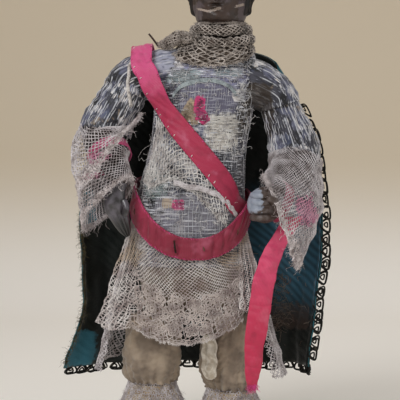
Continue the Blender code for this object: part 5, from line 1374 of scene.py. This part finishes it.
def sleevePath(side):
    path, radii = armPath(side)
    last = round(arms[side]["sleeve"] * 12) * 10
    phi = np.radians(np.linspace(80, 4, 12))
    tangent = unit(path[1] - path[0])
    dome = path[0] - tangent * (radii[0] * np.sin(phi))[:, None]
    return np.vstack([dome, path[: last + 1]]), np.concatenate([radii[0] * np.cos(phi), radii[: last + 1]]), last


sleeveCloths = {}
for side, seed in (("right", 61), ("left", 67)):
    body = side + "_arm"
    path, radii, last = sleevePath(side)
    cloth = tubeCloth(path, radii - 0.0006, 181)
    angle = np.linspace(0, turn, 181)[None, :]
    run = np.linspace(0, 1, len(path))[:, None]
    crest = (0.5 + 0.5 * np.cos(sleeve["ridges"] * angle + 1.5 * np.sin(5 * run + seed))) ** 4
    folds = np.abs(ripple(cloth.points * (1, 1, 1.6), 0.022, seed, 5)) * np.sin(math.pi * run) ** 0.5
    cloth = moved(cloth, sleeve["ridge"] * crest + sleeve["coarse"] * folds + sleeve["fine"] * ripple(cloth.points, 0.005, seed + 1))
    sleeveCloths[side] = cloth
    size = (0.075, 0.046 if side == "right" else 0.052)
    piece = clothPiece(side + "SleeveCloth", cloth, sleeve["wall"], size, sleeveBrocade, body, [side + "_sleeve"])
    side + "ArmPadding"
    random = np.random.default_rng(seed)
    count = 130
    u = (random.integers(0, sleeve["ridges"], count) + random.normal(0, 0.06, count)) / sleeve["ridges"]
    v = random.uniform(0.14, 0.9, count)[:, None] + random.uniform(0.02, 0.10, (count, 1)) * np.linspace(-1, 1, 8)
    v = np.clip(v, 0.05, 0.985)
    u = u[:, None] - 1.5 * np.sin(5 * v + seed) / sleeve["ridges"] / turn + random.normal(0, 0.0006, (count, 8))
    off = 0.00028 * (1.6 * np.cos(np.linspace(-1.5, 1.5, 8)) - 0.3) + sleeve["wall"] / 2 + 0 * u
    up = cloth.spot(u, v, 1.0 + 0 * u) - cloth.spot(u, v, 0 * u)
    threadPiece(side + "SleeveFloats", [threads(cloth.spot(u, v, off), random.uniform(0.0002, 0.0003, (count, 1)), 3, up)],
                paleThread if side == "right" else paleThread, body)
    arm, thick = armPath(side)
    thick = np.maximum(thick - 0.0026, 0.0045)
    core = tubeCloth(arm[4:], thick[4:], 41).points[:, :-1]
    piece = loftPiece(side + "ArmPadding", core, 0.06, 0.09, clothFinish(side + "ArmCloth", tone(0.20, 0.155, 0.12), tone(0.10, 0.08, 0.065)),
                      body, [side + "_arm_core"])


shoulders = {"overlap": 16, "ease": 0.0012}
for side, start, seed in (("right", (-0.0070, 0.0010, 0.2240), 57), ("left", (0.0200, 0.0010, 0.2190), 58)):
    arm, thick = armPath(side)
    start = point(*start) + shift
    k = shoulders["overlap"]
    line = smoothPath((start, start * 0.45 + arm[2] * 0.55, arm[6], arm[k]), 40)
    radii = along(((0, 0.0138), (0.45, 0.0134), (0.8, thick[6] + 0.0006), (1, thick[k] + 0.0008)), np.linspace(0, 1, 40))[0]
    cloth = tubeCloth(line, radii, 161)
    angle, run = np.linspace(0, turn, 161)[None, :], np.linspace(0, 1, 40)[:, None]
    crest = (0.5 + 0.5 * np.cos(30 * angle)) ** 4
    cloth = moved(cloth, 0.0001 * crest + 0.0005 * ripple(cloth.points, 0.014, seed) + 0.0002 * ripple(cloth.points, 0.005, seed))
    points, faces, weave, bake = clothMesh(cloth, 0.0009, 0.075, 0.035)
    piece = makePiece(side + "ShoulderCloth", points, faces, sleeveBrocade, None, (), weave, bake)
    side + "_arm"
    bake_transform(piece)
    side + "SleeveCloth"


cordSpots = smoothPath([seen(134, 56, -0.012) + (0,), seen(129, 72, -0.014) + (0,), seen(128, 92, -0.015) + (0,), seen(131, 110, -0.016) + (0,)], 60)
cord = onFront(sleeveCloths["right"], cordSpots[:, :2], 0.0010)
cord = smoothPath(cord[::6], 90)
threadPiece("armholeCord", [twisted(cord, 0.00060, 14, 4)], threadFinish("cordThread", tone(0.86, 0.84, 0.82), tone(0.58, 0.55, 0.53), 0.002), "right_arm")
print("sleeves done")

cuffs = {"pitch": 0.00145, "thread": 0.00021, "crumple": 0.0007}


def cuffSet(name, side, cloth, node, seed, pitch, thread, layers=2, hemmed=0.0016):
    body = side + "_arm"
    size = clothSize(cloth)
    width, length = size
    for k in range(layers):
        layer = wrinkled(moved(cloth, 0.0007 * k), cuffs["crumple"], 0.00025, seed + 2 * k, 0.015)
        parts = net(width, length, pitch, thread, 0.35 + 0.4 * k, seed + k, jitter=0.15)
        if k == 0:
            parts += picots(width, length, hemmed, 0.0007, 0.0002, seed + 5)
        piece = makeLace(f"{name}Net{k}", layer, *size, parts, laceThread, "net_lace", body, [node] if k == 0 else [])
    random = np.random.default_rng(seed + 7)
    parts = []
    for k, back in enumerate((0.0, 0.0012, 0.0026)):
        x = np.arange(0.0005, width, 0.00155) + random.normal(0, 0.0003, len(np.arange(0.0005, width, 0.00155)))
        spots = np.stack([x, length - back + random.normal(0, 0.0004, len(x))], axis=1)
        parts.append(rings(spots, random.uniform(0.0008, 0.0014, len(x)) * (1.0 - 0.15 * k), 0.00024, seed + 10 + k, 9, 0.22, 0.0004))
    fringe = wrinkled(moved(cloth, 0.0004), cuffs["crumple"], 0.0003, seed, 0.015)
    makeLace(name + "Fringe", fringe, *size, parts, fringeThread, "net_lace", body)
    random = np.random.default_rng(seed + 11)
    u = random.uniform(0, 1, 260)
    starts = fringe.spot(u, 0 * u + 0.985)
    ways = unit(starts - fringe.spot(u, 0 * u + 0.93)) + random.normal(0, 0.6, (260, 3))
    threadPiece(name + "Fuzz", [fuzz(starts, ways, 0.0030, 0.00014, seed + 12, 2.2, 0.4, 8)], fringeThread, body)
    return fringe


rightLast, leftLast = 60, 70
cloth = cuffCloth("right", rightLast, (-0.0560, -0.0060, 0.1745), 0.0290, 0.0215, 51, 46, 141)
rightCuff = cuffSet("rightCuff", "right", cloth, "right_cuff", 71, 0.00175, 0.00026, 1)
cloth = cuffCloth("right", rightLast + 24, (-0.0570, -0.0185, 0.1455), 0.0195, 0.0125, 41, 46, 121, 35)
innerCuff = cuffSet("innerCuff", "right", cloth, "right_inner_cuff", 81, 0.0019, 0.00027, 1)
cloth = cuffCloth("left", leftLast, (0.0445, -0.0190, 0.1345), 0.0285, 0.0225, -70, 60, 161, 0, 0.0075)
leftCuff = cuffSet("leftCuff", "left", cloth, "left_cuff", 91, 0.00128, 0.00019, 1)
print("cuffs done")


def bandCloth(centre, first, second, across, width, rows=12, columns=160, roll=0.0):
    # a ribbon loop: round a centre in the plane of two half axes, its width along across
    angle = np.linspace(0, turn, columns)[None, :, None]
    v = np.linspace(-0.5, 0.5, rows)[:, None, None]
    ring = centre + first * np.cos(angle) + second * np.sin(angle)
    crease = 0.00035 * np.abs(ripple((ring + across * v * width)[..., :], 0.007, 7))[..., None]
    return Cloth(ring + across * v * width + unit(first * np.cos(angle) + second * np.sin(angle)) * crease, True, None)


wristSilk = silkFinish("wristSilk", tone(0.62, 0.17, 0.30), tone(0.84, 0.34, 0.54), colours["blush"], (0.14, 0.18))
path, radii = armPath("right")
lo, hi = (np.array(k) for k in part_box("right_wrist_ribbon"))
k = int(np.linalg.norm(path - (lo + hi) / 2, axis=1).argmin())
side, upward, tangents = pathFrames(path)
r = radii[k] + 0.0009
cloth = bandCloth(path[k], side[k] * r, upward[k] * r, tangents[k], 0.0066)
piece = clothPiece("rightWristRibbon", cloth, 0.0007, (0.06, 0.0066), wristSilk, "right_arm", ["right_wrist_ribbon"])
path, radii = armPath("left")
lo, hi = (np.array(k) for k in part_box("left_wrist_ribbon"))
side, upward, tangents = pathFrames(path)
drop = point(-0.0046, -0.0133, -0.0172)
centre = path[110] + drop * 0.42
long = unit(drop) * 0.0125
short = unit(np.cross(drop, tangents[110])) * 0.0090
cloth = bandCloth(centre, long, short, unit(np.cross(long, short)), 0.0066)
piece = clothPiece("leftWristRibbon", cloth, 0.0007, (0.068, 0.0066), wristSilk, "left_arm", ["left_wrist_ribbon"])

# Hands


def flatTube(path, wide, deep, sides=72, start=(1.0, 0.0, 0.0)):
    # rings of two half widths across a path
    side, upward, _ = pathFrames(path, start)
    angle = np.linspace(0, turn, sides + 1)[:-1][None, :, None]
    wide, deep = (np.broadcast_to(np.asarray(k, float).reshape(len(path), -1), (len(path), sides))[..., None] for k in (wide, deep))
    return path[:, None] + side[:, None] * np.cos(angle) * wide + upward[:, None] * np.sin(angle) * deep


def tubeRings(places, radii, sides=24, count=30):
    path = smoothPath(places, count)
    share = np.linspace(0, 1, count)
    radius = along(radii, share)[0]
    radius = radius * np.sqrt(np.clip(1 - np.clip((share - 0.88) / 0.12, 0, 1) ** 2, 0.02, 1))
    radius = radius * np.sqrt(np.clip(1 - np.clip((0.10 - share) / 0.10, 0, 1) ** 2, 0.02, 1))
    side, upward, _ = pathFrames(path, (0.3, 0.2, 0.9))
    angle = np.linspace(0, turn, sides + 1)[:-1][None, :, None]
    return path[:, None] + (side[:, None] * np.cos(angle) + upward[:, None] * np.sin(angle)) * radius[:, None, None]


handFinish = Finish("handPaint", 0.35, specular_ior_level=0.6, coat_weight=0.6, coat_roughness=0.18)
# dark paint varied at random towards a pale violet-grey that is painted sheen; the hand turns near black below a height
blotch = handFinish.noise(0.005, 4)
shade = handFinish.mix(handFinish.step(blotch, 0.35, 0.65), tone(0.13, 0.115, 0.12), tone(0.33, 0.31, 0.345))
handFinish.paint(handFinish.mix(handFinish.step(handFinish.z, 0.140, 0.132), shade, tone(0.07, 0.065, 0.065)), blotch, 0.4, 0.0005, 0.25 + blotch * 0.3)
handFinish = handFinish.material
wrist = point(-0.0500, -0.0215, 0.1560) + shift
handPath = smoothPath((wrist + (0, 0, 0.002), wrist + (-0.0026, -0.0010, -0.0100), wrist + (0.0008, -0.0004, -0.0200), wrist + (0.0050, 0.0008, -0.0298)), 80)
share = np.linspace(0, 1, 80)
wide, deep = along(((0, 0.78, 0.95), (0.12, 0.82, 0.95), (0.36, 1.08, 1.05), (0.60, 0.92, 0.80), (0.88, 0.58, 0.50), (1, 0.22, 0.26)), share)
angle = np.linspace(0, turn, 97)[:-1]
grooves = sum(np.exp(-(((np.cos(angle)[None, :] - k) / 0.10) ** 2)) for k in (-0.5, 0.02, 0.52))
grooves = grooves * ease(0.42, 0.62, share)[:, None] * np.abs(np.sin(angle))[None, :]
rings1 = flatTube(handPath, 0.0062 * wide, 0.0042 * deep[:, None] - 0.0010 * grooves, 96)
loftPiece("rightHandSkin", rings1, 0.034, 0.03, handFinish, "right_arm", ["right_hand"])
thumb = tubeRings((wrist + (0.0024, -0.0035, -0.0080), wrist + (0.0044, -0.0056, -0.0130), wrist + (0.0038, -0.0062, -0.0180)), ((0, 0.0021), (0.5, 0.0020), (1, 0.0015)))
loftPiece("rightThumb", thumb, 0.012, 0.012, handFinish, "right_arm")

fist = point(0.0345, -0.0290, 0.1450) + shift
pale = Finish("fistSkin", 0.45, coat_weight=0.1)
blotch = pale.noise(0.003, 4)
front = pale.patch(seen(254, 200, -0.038), 0.0046, 0.0074, 0.5, 0.002, 0.1)
tones = pale.mix(pale.step(blotch, 0.4, 0.65), tone(0.26, 0.20, 0.17), tone(0.36, 0.32, 0.31))
tones = pale.mix(front * 0.9, tones, pale.mix(blotch, tone(0.42, 0.46, 0.54), tone(0.74, 0.77, 0.82)))
pale.paint(tones, blotch + pale.noise(0.0007), 0.5, 0.0005)
loftPiece("fistPalm", ballRings(fist, 0.0100, (1.02, 0.86, 1.06), 48, 30), 0.05, 0.03, pale.material, "left_arm", ["left_hand"])
for k in range(4):
    high = 0.0062 - 0.0043 * k
    bent = smoothPath((fist + (0.0062, -0.0052, high), fist + (-0.0006, -0.0092, high - 0.0003), fist + (-0.0066, -0.0052, high - 0.0005), fist + (-0.0062, 0.0010, high)), 5)
    finger = tubeRings(bent * (1, 1, 1) + (0, 0.0012, 0), ((0, 0.0018), (0.5, 0.0020), (1, 0.0016)))
    loftPiece(f"fistFinger{k}", finger, 0.014, 0.02, pale.material, "left_arm")
thumb = tubeRings((fist + (0.0062, -0.0040, -0.0030), fist + (0.0058, -0.0092, 0.0018), fist + (0.0010, -0.0112, 0.0052)), ((0, 0.0026), (0.5, 0.0025), (1, 0.0019)))
loftPiece("fistThumb", thumb, 0.014, 0.012, pale.material, "left_arm")
wristEnd = armPath("left")[0][-1]
loftPiece("fistNeck", tubeRings((wristEnd + (0.001, 0.003, 0.003), (wristEnd + fist) / 2, fist), ((0, 0.0050), (1, 0.0052)), 32), 0.03, 0.012, pale.material, "left_arm")
print("hands done")

# Legs

puffs = {"pleats": 17, "pleat": 0.0010, "coarse": 0.0014, "fine": 0.00034, "sag": 0.0009}
puffFinish = clothFinish("breechesCotton", colours["puff"], colours["taupe"], 0.014, 0.0007)
stocking = clothFinish("stockingPaint", tone(0.25, 0.18, 0.14), tone(0.13, 0.09, 0.07), 0.005, 0.0008)
shoeFinish = leatherFinish("shoeLeather", colours["leather"], tone(0.11, 0.075, 0.055))
soleFinish = leatherFinish("soleLeather", tone(0.34, 0.25, 0.18), tone(0.19, 0.135, 0.10))
for side, x, radius, seed in (("right", -0.0318, 0.0178, 101), ("left", 0.0155, 0.0172, 111)):
    low = 0.0040 if side == "left" else 0.0
    x, y = x + shift[0], 0.0010 + shift[1]
    s = np.linspace(0, 1, 90)
    share = along(((0, 0.78), (0.14, 0.93), (0.38, 1), (0.62, 0.97), (0.84, 0.88), (1, 0.72)), s)[0]
    z = 0.0370 - low + (0.0410 + low) * s
    rings2 = levelRings(x + 0 * s, y + 0 * s, z, radius * share, radius * share, 200)
    angle = np.linspace(0, turn, 201)[None, :-1]
    away = unit(rings2 - point(x, y, 0) * (1, 1, 0) - point(0, 0, 1) * rings2[..., 2:])
    gathers = np.cos(puffs["pleats"] * angle + 1.2 * ripple(rings2, 0.03, seed)) * np.abs(2 * s[:, None] - 1) ** 1.3
    off = puffs["pleat"] * gathers + puffs["coarse"] * ripple(rings2 * (1, 1, 0.6), 0.018, seed + 1) + puffs["fine"] * ripple(rings2, 0.004, seed + 2)
    off = off + puffs["sag"] * (1 - s[:, None]) * np.abs(ripple(rings2 * (0.5, 0.5, 2.0), 0.012, seed + 5))
    piece = loftPiece(side + "Puff", rings2 + away * (off - 0.0006)[..., None], turn * radius, 0.044, puffFinish, "figure", [side + "_breeches"])
    z = np.linspace(0.0342, 0.0795, 30)
    wide = np.linspace(0.0076, 0.0095, 30)
    piece = loftPiece(side + "ThighPadding", levelRings(x + 0 * z, y + 0 * z, z, wide * 0.98, wide * 0.98), 0.055, 0.045, padding, "figure", [side + "_thigh"])

    columns, rows = 181, 26
    angle = np.linspace(0, turn, columns)[None, :]
    s = np.linspace(0, 1, rows)[:, None]
    reach = 0.0140 + 0.0055 * s**1.3 + 0.0009 * s * np.cos(14 * angle) + 0.0004 * s * np.cos(31 * angle + 1)
    rings2 = np.stack([x + reach * np.cos(angle), y + reach * np.sin(angle), 0.0366 - low - 0.0148 * s + 0 * angle], axis=2)
    cloth = Cloth(rings2, True, None)
    size = clothSize(cloth)
    ground = clothFinish(side + "RuffleCloth", tone(0.74, 0.67, 0.56), tone(0.56, 0.48, 0.38), 0.004)
    piece = clothPiece(side + "Ruffle", cloth, 0.0007, size, ground, "figure", [side + "_knee_ruffle"])
    side + "Puff"
    places = lattice(*size, 0.0024, seed)
    parts = [rings(places, np.full(len(places), 0.0010), 0.00024, seed, 7), worms(420, *size, 0.0007, 0.00019, seed + 1)]
    parts += picots(*size, 0.0014, 0.0008, 0.0002, seed + 2)
    makeLace(side + "RuffleLace", moved(cloth, 0.0005), *size, parts, laceThread, "floral_lace")
    random = np.random.default_rng(seed)
    u, v = random.uniform(0, 1, 700), random.uniform(0.1, 1, 700) ** 0.6
    starts = cloth.spot(u, v, 0.0004)
    ways = cloth.spot(u, v, 1.0) - cloth.spot(u, v) + point(0, 0, -1.0) + random.normal(0, 0.5, (700, 3))
    threadPiece(side + "RuffleFuzz", [fuzz(starts, ways, 0.0026, 0.00013, seed, 1.2)], fringeThread)

    z = np.linspace(0.0104, 0.0336, 40)
    wide = np.linspace(0.0048, 0.0064, 40) + 0.0003 * np.sin(np.linspace(0, math.pi, 40))
    loftPiece(side + "ShinSkin", levelRings(x + 0 * z, y + 0 * z, z, wide, wide), 0.035, 0.024, stocking, "figure", [side + "_shin"])

    widths = ((0, 0.45), (0.06, 0.74), (0.2, 0.8), (0.45, 0.8), (0.7, 1), (0.88, 0.8), (0.97, 0.45), (1, 0.25))
    heights = ((0, 0.75), (0.1, 0.95), (0.3, 1), (0.5, 0.72), (0.75, 0.5), (0.93, 0.36), (1, 0.2))
    s = np.linspace(0, 1, 70)
    half, tall = along(widths, s)[0] * 0.0080, along(heights, s)[0] * 0.0127
    angle = np.linspace(0, turn, 49)[None, :-1]
    across, up = superellipse(angle, 2.2)
    lengthwise = (0.0130 + shift[1] - 0.0370 * s)[:, None] + 0 * angle
    crease = 0.00022 * np.sin(s * 90)[:, None] * np.exp(-(((s - 0.56) / 0.09) ** 2))[:, None]
    z = 0.0034 + np.where(up > 0, up, 0) * (tall[:, None] + crease)
    rings2 = np.stack([x + half[:, None] * across * (1 - 0.12 * np.maximum(up, 0)), lengthwise, z], axis=2)
    loftPiece(side + "ShoeUpper", rings2, 0.030, 0.038, shoeFinish, "figure", [side + "_shoe"])
    s = np.concatenate([np.linspace(0, 1, 60), np.linspace(1, 0, 60)])
    sign = np.concatenate([np.ones(60), -np.ones(60)])
    half = along(widths, s)[0] * 0.0080 + 0.0007
    lengthwise = 0.0130 + shift[1] + 0.0007 - (0.0370 + 0.0014) * s
    outline = np.stack([x + half * sign, lengthwise, 0 * s], axis=1)
    middle = outline.mean(axis=0)
    rings2 = np.array([(outline - middle) * (k, k, 1) + middle + (0, 0, h) for k, h in ((0.97, 0.0001), (1, 0.0005), (1, 0.0026), (0.98, 0.0030))])
    loftPiece(side + "SoleSlab", rings2, 0.09, 0.003, soleFinish, "figure", [side + "_sole"])
    s = np.linspace(0.02, 0.98, 46)
    parts = []
    for sign in (1, -1):
        half = along(widths, s)[0] * 0.0080 + 0.0002
        path = np.stack([x + sign * half, 0.0130 + shift[1] - 0.0370 * s, 0.0032 + 0 * s], axis=1)
        step = np.gradient(path, axis=0) * 0.32
        parts.append(threads(np.stack([path - step, path + (0, 0, 0.0003), path + step], axis=1), 0.00022, 4, (0.1, 0.2, 0.97)))
    threadPiece(side + "Welt", parts, creamThread)

lo, hi = (np.array(k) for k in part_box("breeches_tab"))
middle, height = (lo + hi) / 2, hi[2] - lo[2]
z = np.linspace(lo[2] - 0.0070, hi[2], 60)
s = np.linspace(0, 1, 60)
narrow = np.sqrt(np.clip(1 - np.abs(2 * s - 1) ** 6, 0.05, 1))
c, d = math.cos(math.radians(232)), math.sin(math.radians(232))
angle = np.linspace(0, turn, 61)[None, :-1]
across, out = superellipse(angle, 3.0)
wide = 0.0056 * narrow[:, None] * across
deep = (0.0009 * out + 0.0004 * np.cos(across * 6)) * narrow[:, None] + 0.0006 * np.sin(z * 700)[:, None]
centre = middle + point(c, d, 0) * 0.0018
rings2 = np.stack([centre[0] - d * wide + c * deep, centre[1] + c * wide + d * deep, z[:, None] + 0 * wide], axis=2)
loftPiece("puffTab", rings2, 0.018, 0.02, clothFinish("tabCotton", tone(0.90, 0.87, 0.82), tone(0.72, 0.67, 0.60), 0.004), "figure", ["breeches_tab"])
print("legs done")

# Cape

cape = {"rows": 90, "columns": 165, "rumple": 0.0007, "wall": 0.0007}
size = (0.166, 0.196)
for name, node, lift, finish, slot in (
    ("capeSilk", "cape_outer", 0.0006, capeFinish("capeSilk", tone(0.13, 0.335, 0.36), colours["teal"], False), "cape_silk"),
    ("capeLining", "cape_lining", -0.0006, capeFinish("capeLining", tone(0.055, 0.075, 0.068), colours["lining"], True), "cape_lining"),
):
    cloth = capeCloth(0.0, cape["rows"], cape["columns"], 0.004)
    rumple = ripple(cloth.points, 0.028, 121) + 0.35 * ripple(cloth.points, 0.009, 122)
    fade = ease(0.0, 0.25, np.linspace(0, 1, cape["rows"]))[:, None]
    cloth = moved(cloth, lift + cape["rumple"] * rumple * fade)
    piece = clothPiece(name, cloth, cape["wall"], size, finish, "figure", [node])
    if node == "cape_lining":
        liningCloth = cloth
    else:
        outerCloth = cloth


def edgeStrip(points, inward, columns, lean):
    # a strip that runs along an edge, from inside the cloth to beyond it, turned some way towards lean
    points = smoothPath(points, columns)
    inward = smoothPath(inward, columns)
    out = unit(unit(points - inward) + point(*lean))
    v = np.linspace(-0.004, 0.006, 9)[:, None, None]
    return Cloth(points[None] + out[None] * v, False, point(0.0, -0.05, 0.14))


p = outerCloth.points
start = int(0.12 * cape["rows"])
rightEdge, rightIn = p[start:, -1], p[start:, -8]
if p[0, 0, 0] > p[0, -1, 0]:
    rightEdge, rightIn = p[start:, 0], p[start:, 7]
hem = p[-1, ::-1] if p[0, 0, 0] < p[0, -1, 0] else p[-1]
hemIn = p[-7, ::-1] if p[0, 0, 0] < p[0, -1, 0] else p[-7]
trims = (
    ("sideTrim", rightEdge[::6], rightIn[::6]),
    ("hemTrim", hem[::6], hemIn[::6]),
)
gimp = {"scallop": 0.0080, "thread": 0.00042, "header": 0.0008}
for name, points, inward in trims:
    points, inward = smoothPath(points, 80), smoothPath(inward, 80)
    length = float(np.linalg.norm(np.diff(points, axis=0), axis=1).sum())
    strip = edgeStrip(points, inward, 400, (2.5, 0.6, 0) if name == "sideTrim" else (0, 0, 0))
    random = np.random.default_rng(131)
    spots = np.arange(0.004, length - 0.003, gimp["scallop"])
    angle = np.linspace(0, turn, 33)
    parts = []
    for scale, radius in ((1.0, 0.00062), (0.90, 0.00050), (0.40, 0.00050)):
        centre = spots + random.normal(0, 0.0008, len(spots))
        scale = scale * random.uniform(0.80, 1.12, (len(spots), 1))
        x = centre[:, None] + 0.0040 * scale * np.cos(angle) * (1 + 0.12 * np.sin(angle))
        y = 0.0040 + 0.0022 + 0.0028 * scale * np.sin(angle + 0.5 * np.cos(angle)) + random.normal(0, 0.0004, (len(spots), 1))
        z = 0.0006 + 0.0003 * np.cos(3 * angle) + random.normal(0, 0.0003, (len(spots), 1))
        parts.append(threads(np.stack([x, y + 0 * x, z + 0 * x], axis=2), radius, 5))
    t = np.linspace(0.0005, length - 0.0005, 1100)
    for k in range(4):
        phase = turn * (t / 0.0026 + k / 4)
        path = np.stack([t, 0.0040 - 0.0004 + gimp["header"] * np.sin(phase), 0.0006 + 0.00035 * np.cos(2 * phase)], axis=1)
        parts.append(threads(path[None], 0.00034, 5))
    makeLace(name, strip, length, 0.010, parts, gimpThread, "cape_trim", "figure", ["cape_trim"] if name == "sideTrim" else [])

frays = {"count": 150, "reach": 0.0085}
random = np.random.default_rng(141)
u = random.normal(0, 0.05, frays["count"])
spots = [seen(px, py, 0.012) for px, py in np.stack([random.normal(282, 12, frays["count"]), random.normal(305, 20, frays["count"])], axis=1)]
p, n = liningCloth.points.reshape(-1, 3), liningCloth.normals.reshape(-1, 3)
starts = []
for x, z in spots:
    k = int((np.hypot(p[:, 0] - x, p[:, 2] - z) + np.where(p[:, 0] > 0, 0, 1)).argmin())
    starts.append(p[k] - n[k] * 0.0004)
starts = np.array(starts)
ways = random.normal(0, 0.4, (len(starts), 3)) * (3, 1, 0.6) + point(0.1, -0.4, -0.1)
threadPiece("liningFray", [fuzz(starts, ways, frays["reach"], 0.00019, 142, 1.5)], threadFinish("frayThread", tone(0.52, 0.47, 0.42), tone(0.32, 0.24, 0.20), 0.004, tone(0.50, 0.34, 0.30)))
left = liningCloth.points[:, 0] if liningCloth.points[0, 0, 0] < 0 else liningCloth.points[:, -1]
k = random.integers(30, len(left) - 2, 800)
starts = left[k] + random.normal(0, 0.0004, (800, 3))
threadPiece("edgeFray", [fuzz(starts, random.normal(0, 0.6, (800, 3)) + point(-0.8, -0.3, -0.2), 0.0026, 0.00014, 143, 1.5)],
            threadFinish("oliveThread", colours["olive"], tone(0.20, 0.17, 0.11), 0.004))
print("cape done")

# Streamer

streamer = {"length": 0.0868, "wall": 0.0007, "rumple": 0.0006, "fray": 160}
hang = point(*[k for k in frame["record"]["behaviour"]["joints"] if k["child"] == "streamer"][0]["pos_m"])
rows = ((-0.11, 0.110, -0.040, 0.46), (0, 0.045, 0.004, 0.46), (0.12, -0.03, 0.060, 0.48), (0.30, -0.09, 0.125, 0.50), (0.60, -0.14, 0.155, 0.49), (0.85, -0.165, 0.150, 0.38), (1, -0.170, 0.140, 0.22))
s = np.linspace(-0.11, 1, 190)
sideways, forward, half = along(rows, s)
middle = hang + np.stack([sideways, -forward, -s], axis=1) * streamer["length"]
v = np.linspace(-1, 1, 30)
half = half * 0.0125
cupped = 0.0012 * (v**2)[None, :] * ease(0.0, 0.2, s)[:, None]
points = middle[:, None] + point(1, 0.12, 0) * (half[:, None] * v)[..., None] + point(0, 1, 0) * cupped[..., None]
cloth = Cloth(points, False, point(0.03, 0.2, 0.09))
fold = 0.0009 * np.exp(-(((s - 0.22 - 0.05 * 0) / 0.035) ** 2))[:, None] * np.sin(4 * v + 1)[None, :]
creased = streamer["rumple"] * ripple(cloth.points * (1, 1, 0.8), 0.013, 151) * ease(0.02, 0.15, s)[:, None]
streamerCloth = moved(cloth, fold + creased + 0.0004 * np.abs(ripple(cloth.points * (0.3, 1, 1), 0.006, 152)))
piece = clothPiece("streamerRibbon", streamerCloth, streamer["wall"], clothSize(streamerCloth), streamerSilk, "streamer", ["streamer"])
random = np.random.default_rng(153)
u = random.uniform(0.05, 0.95, streamer["fray"])
starts = streamerCloth.spot(u, 0 * u + 0.995)
ways = point(0, 0, -1) + random.normal(0, 0.35, (streamer["fray"], 3))
threadPiece("streamerFray", [fuzz(starts, ways, 0.0042, 0.00013, 154, 0.6)], pinkThread, "streamer")
print("streamer done")

# Dowels keep their CAD shapes

wood = woodFinish()
for name in ("neck_dowel", "left_shoulder_dowel", "right_shoulder_dowel"):
    node = frame["nodes"][name]
    node.data.materials.clear()
    node.data.materials.append(wood)


# Stage

for name, node in frame["nodes"].items():
    if not node.hide_render:
        print("CAD node still shown:", name)

world = bpy.data.worlds.new("studio")
world.use_nodes = True
world.node_tree.nodes["Background"].inputs[0].default_value = tone(0.93, 0.92, 0.90)
world.node_tree.nodes["Background"].inputs[1].default_value = 0.35
bpy.context.scene.world = world
stage = {"key": 7.0, "fill": 1.9, "rim": 2.6, "floor": tone(0.98, 0.965, 0.945)}
floorPoints = np.array([[-1.6, -1.6, 0], [1.6, -1.6, 0], [1.6, 0.55, 0], [-1.6, 0.55, 0]], float)
bend = np.linspace(0, math.pi / 2, 24)
sweep = np.stack([np.zeros(24), 0.55 + 0.35 * np.sin(bend), 0.35 - 0.35 * np.cos(bend)], axis=1)
profile = np.vstack([[[0, -1.6, 0]], sweep, [[0, 0.9, 2.0]]])
left, right = profile + (-1.6, 0, 0), profile + (1.6, 0, 0)
count = len(profile)
mesh = bpy.data.meshes.new("backdrop")
mesh.from_pydata(np.vstack([left, right]).tolist(), [], [(k, k + count, k + count + 1, k + 1) for k in range(count - 1)])
mesh.shade_smooth()
backdrop = bpy.data.objects.new("backdrop", mesh)
# the backdrop's outer side lets the view from behind through
floorFinish = Finish("backdropPaper", 0.9)
grade = floorFinish.step(floorFinish.z, 0.0, 0.16)
paper = floorFinish.mix(grade, stage["floor"], tone(0.83, 0.775, 0.69))
outside = floorFinish.node("NewGeometry", out=6)
mesh.materials.append(floorFinish.paint(paper, alpha=1 - outside))
bpy.context.scene.collection.objects.link(backdrop)


def lamp(name, place, size, power, colour=(1, 1, 1)):
    light = bpy.data.lights.new(name, "AREA")
    light.size, light.energy, light.color = size, power, colour
    found = bpy.data.objects.new(name, light)
    found.location = place
    found.rotation_euler = (Vector((0, 0, 0.15)) - Vector(place)).to_track_quat("-Z", "Y").to_euler()
    bpy.context.scene.collection.objects.link(found)


lamp("key", (-0.55, -0.80, 0.85), 0.55, stage["key"])
lamp("fill", (0.85, -0.70, 0.35), 0.9, stage["fill"])
lamp("rim", (0.35, 0.45, 0.95), 0.5, stage["rim"])

lens = bpy.data.cameras.new("camera")
lens.sensor_width = 36
lens.lens = 36 * camera["distance"] / camera["width"]
lens.clip_start = 0.01
viewer = bpy.data.objects.new("camera", lens)
tilt = camera["tilt"]
viewer.location = Vector(camera["aim"] + point(0, -math.cos(tilt), math.sin(tilt)) * camera["distance"])
viewer.rotation_euler = (math.pi / 2 - tilt, 0, 0)
bpy.context.scene.collection.objects.link(viewer)
bpy.context.scene.camera = viewer
bpy.context.scene.view_settings.view_transform = "Standard"

print(pieceCount, "pieces")
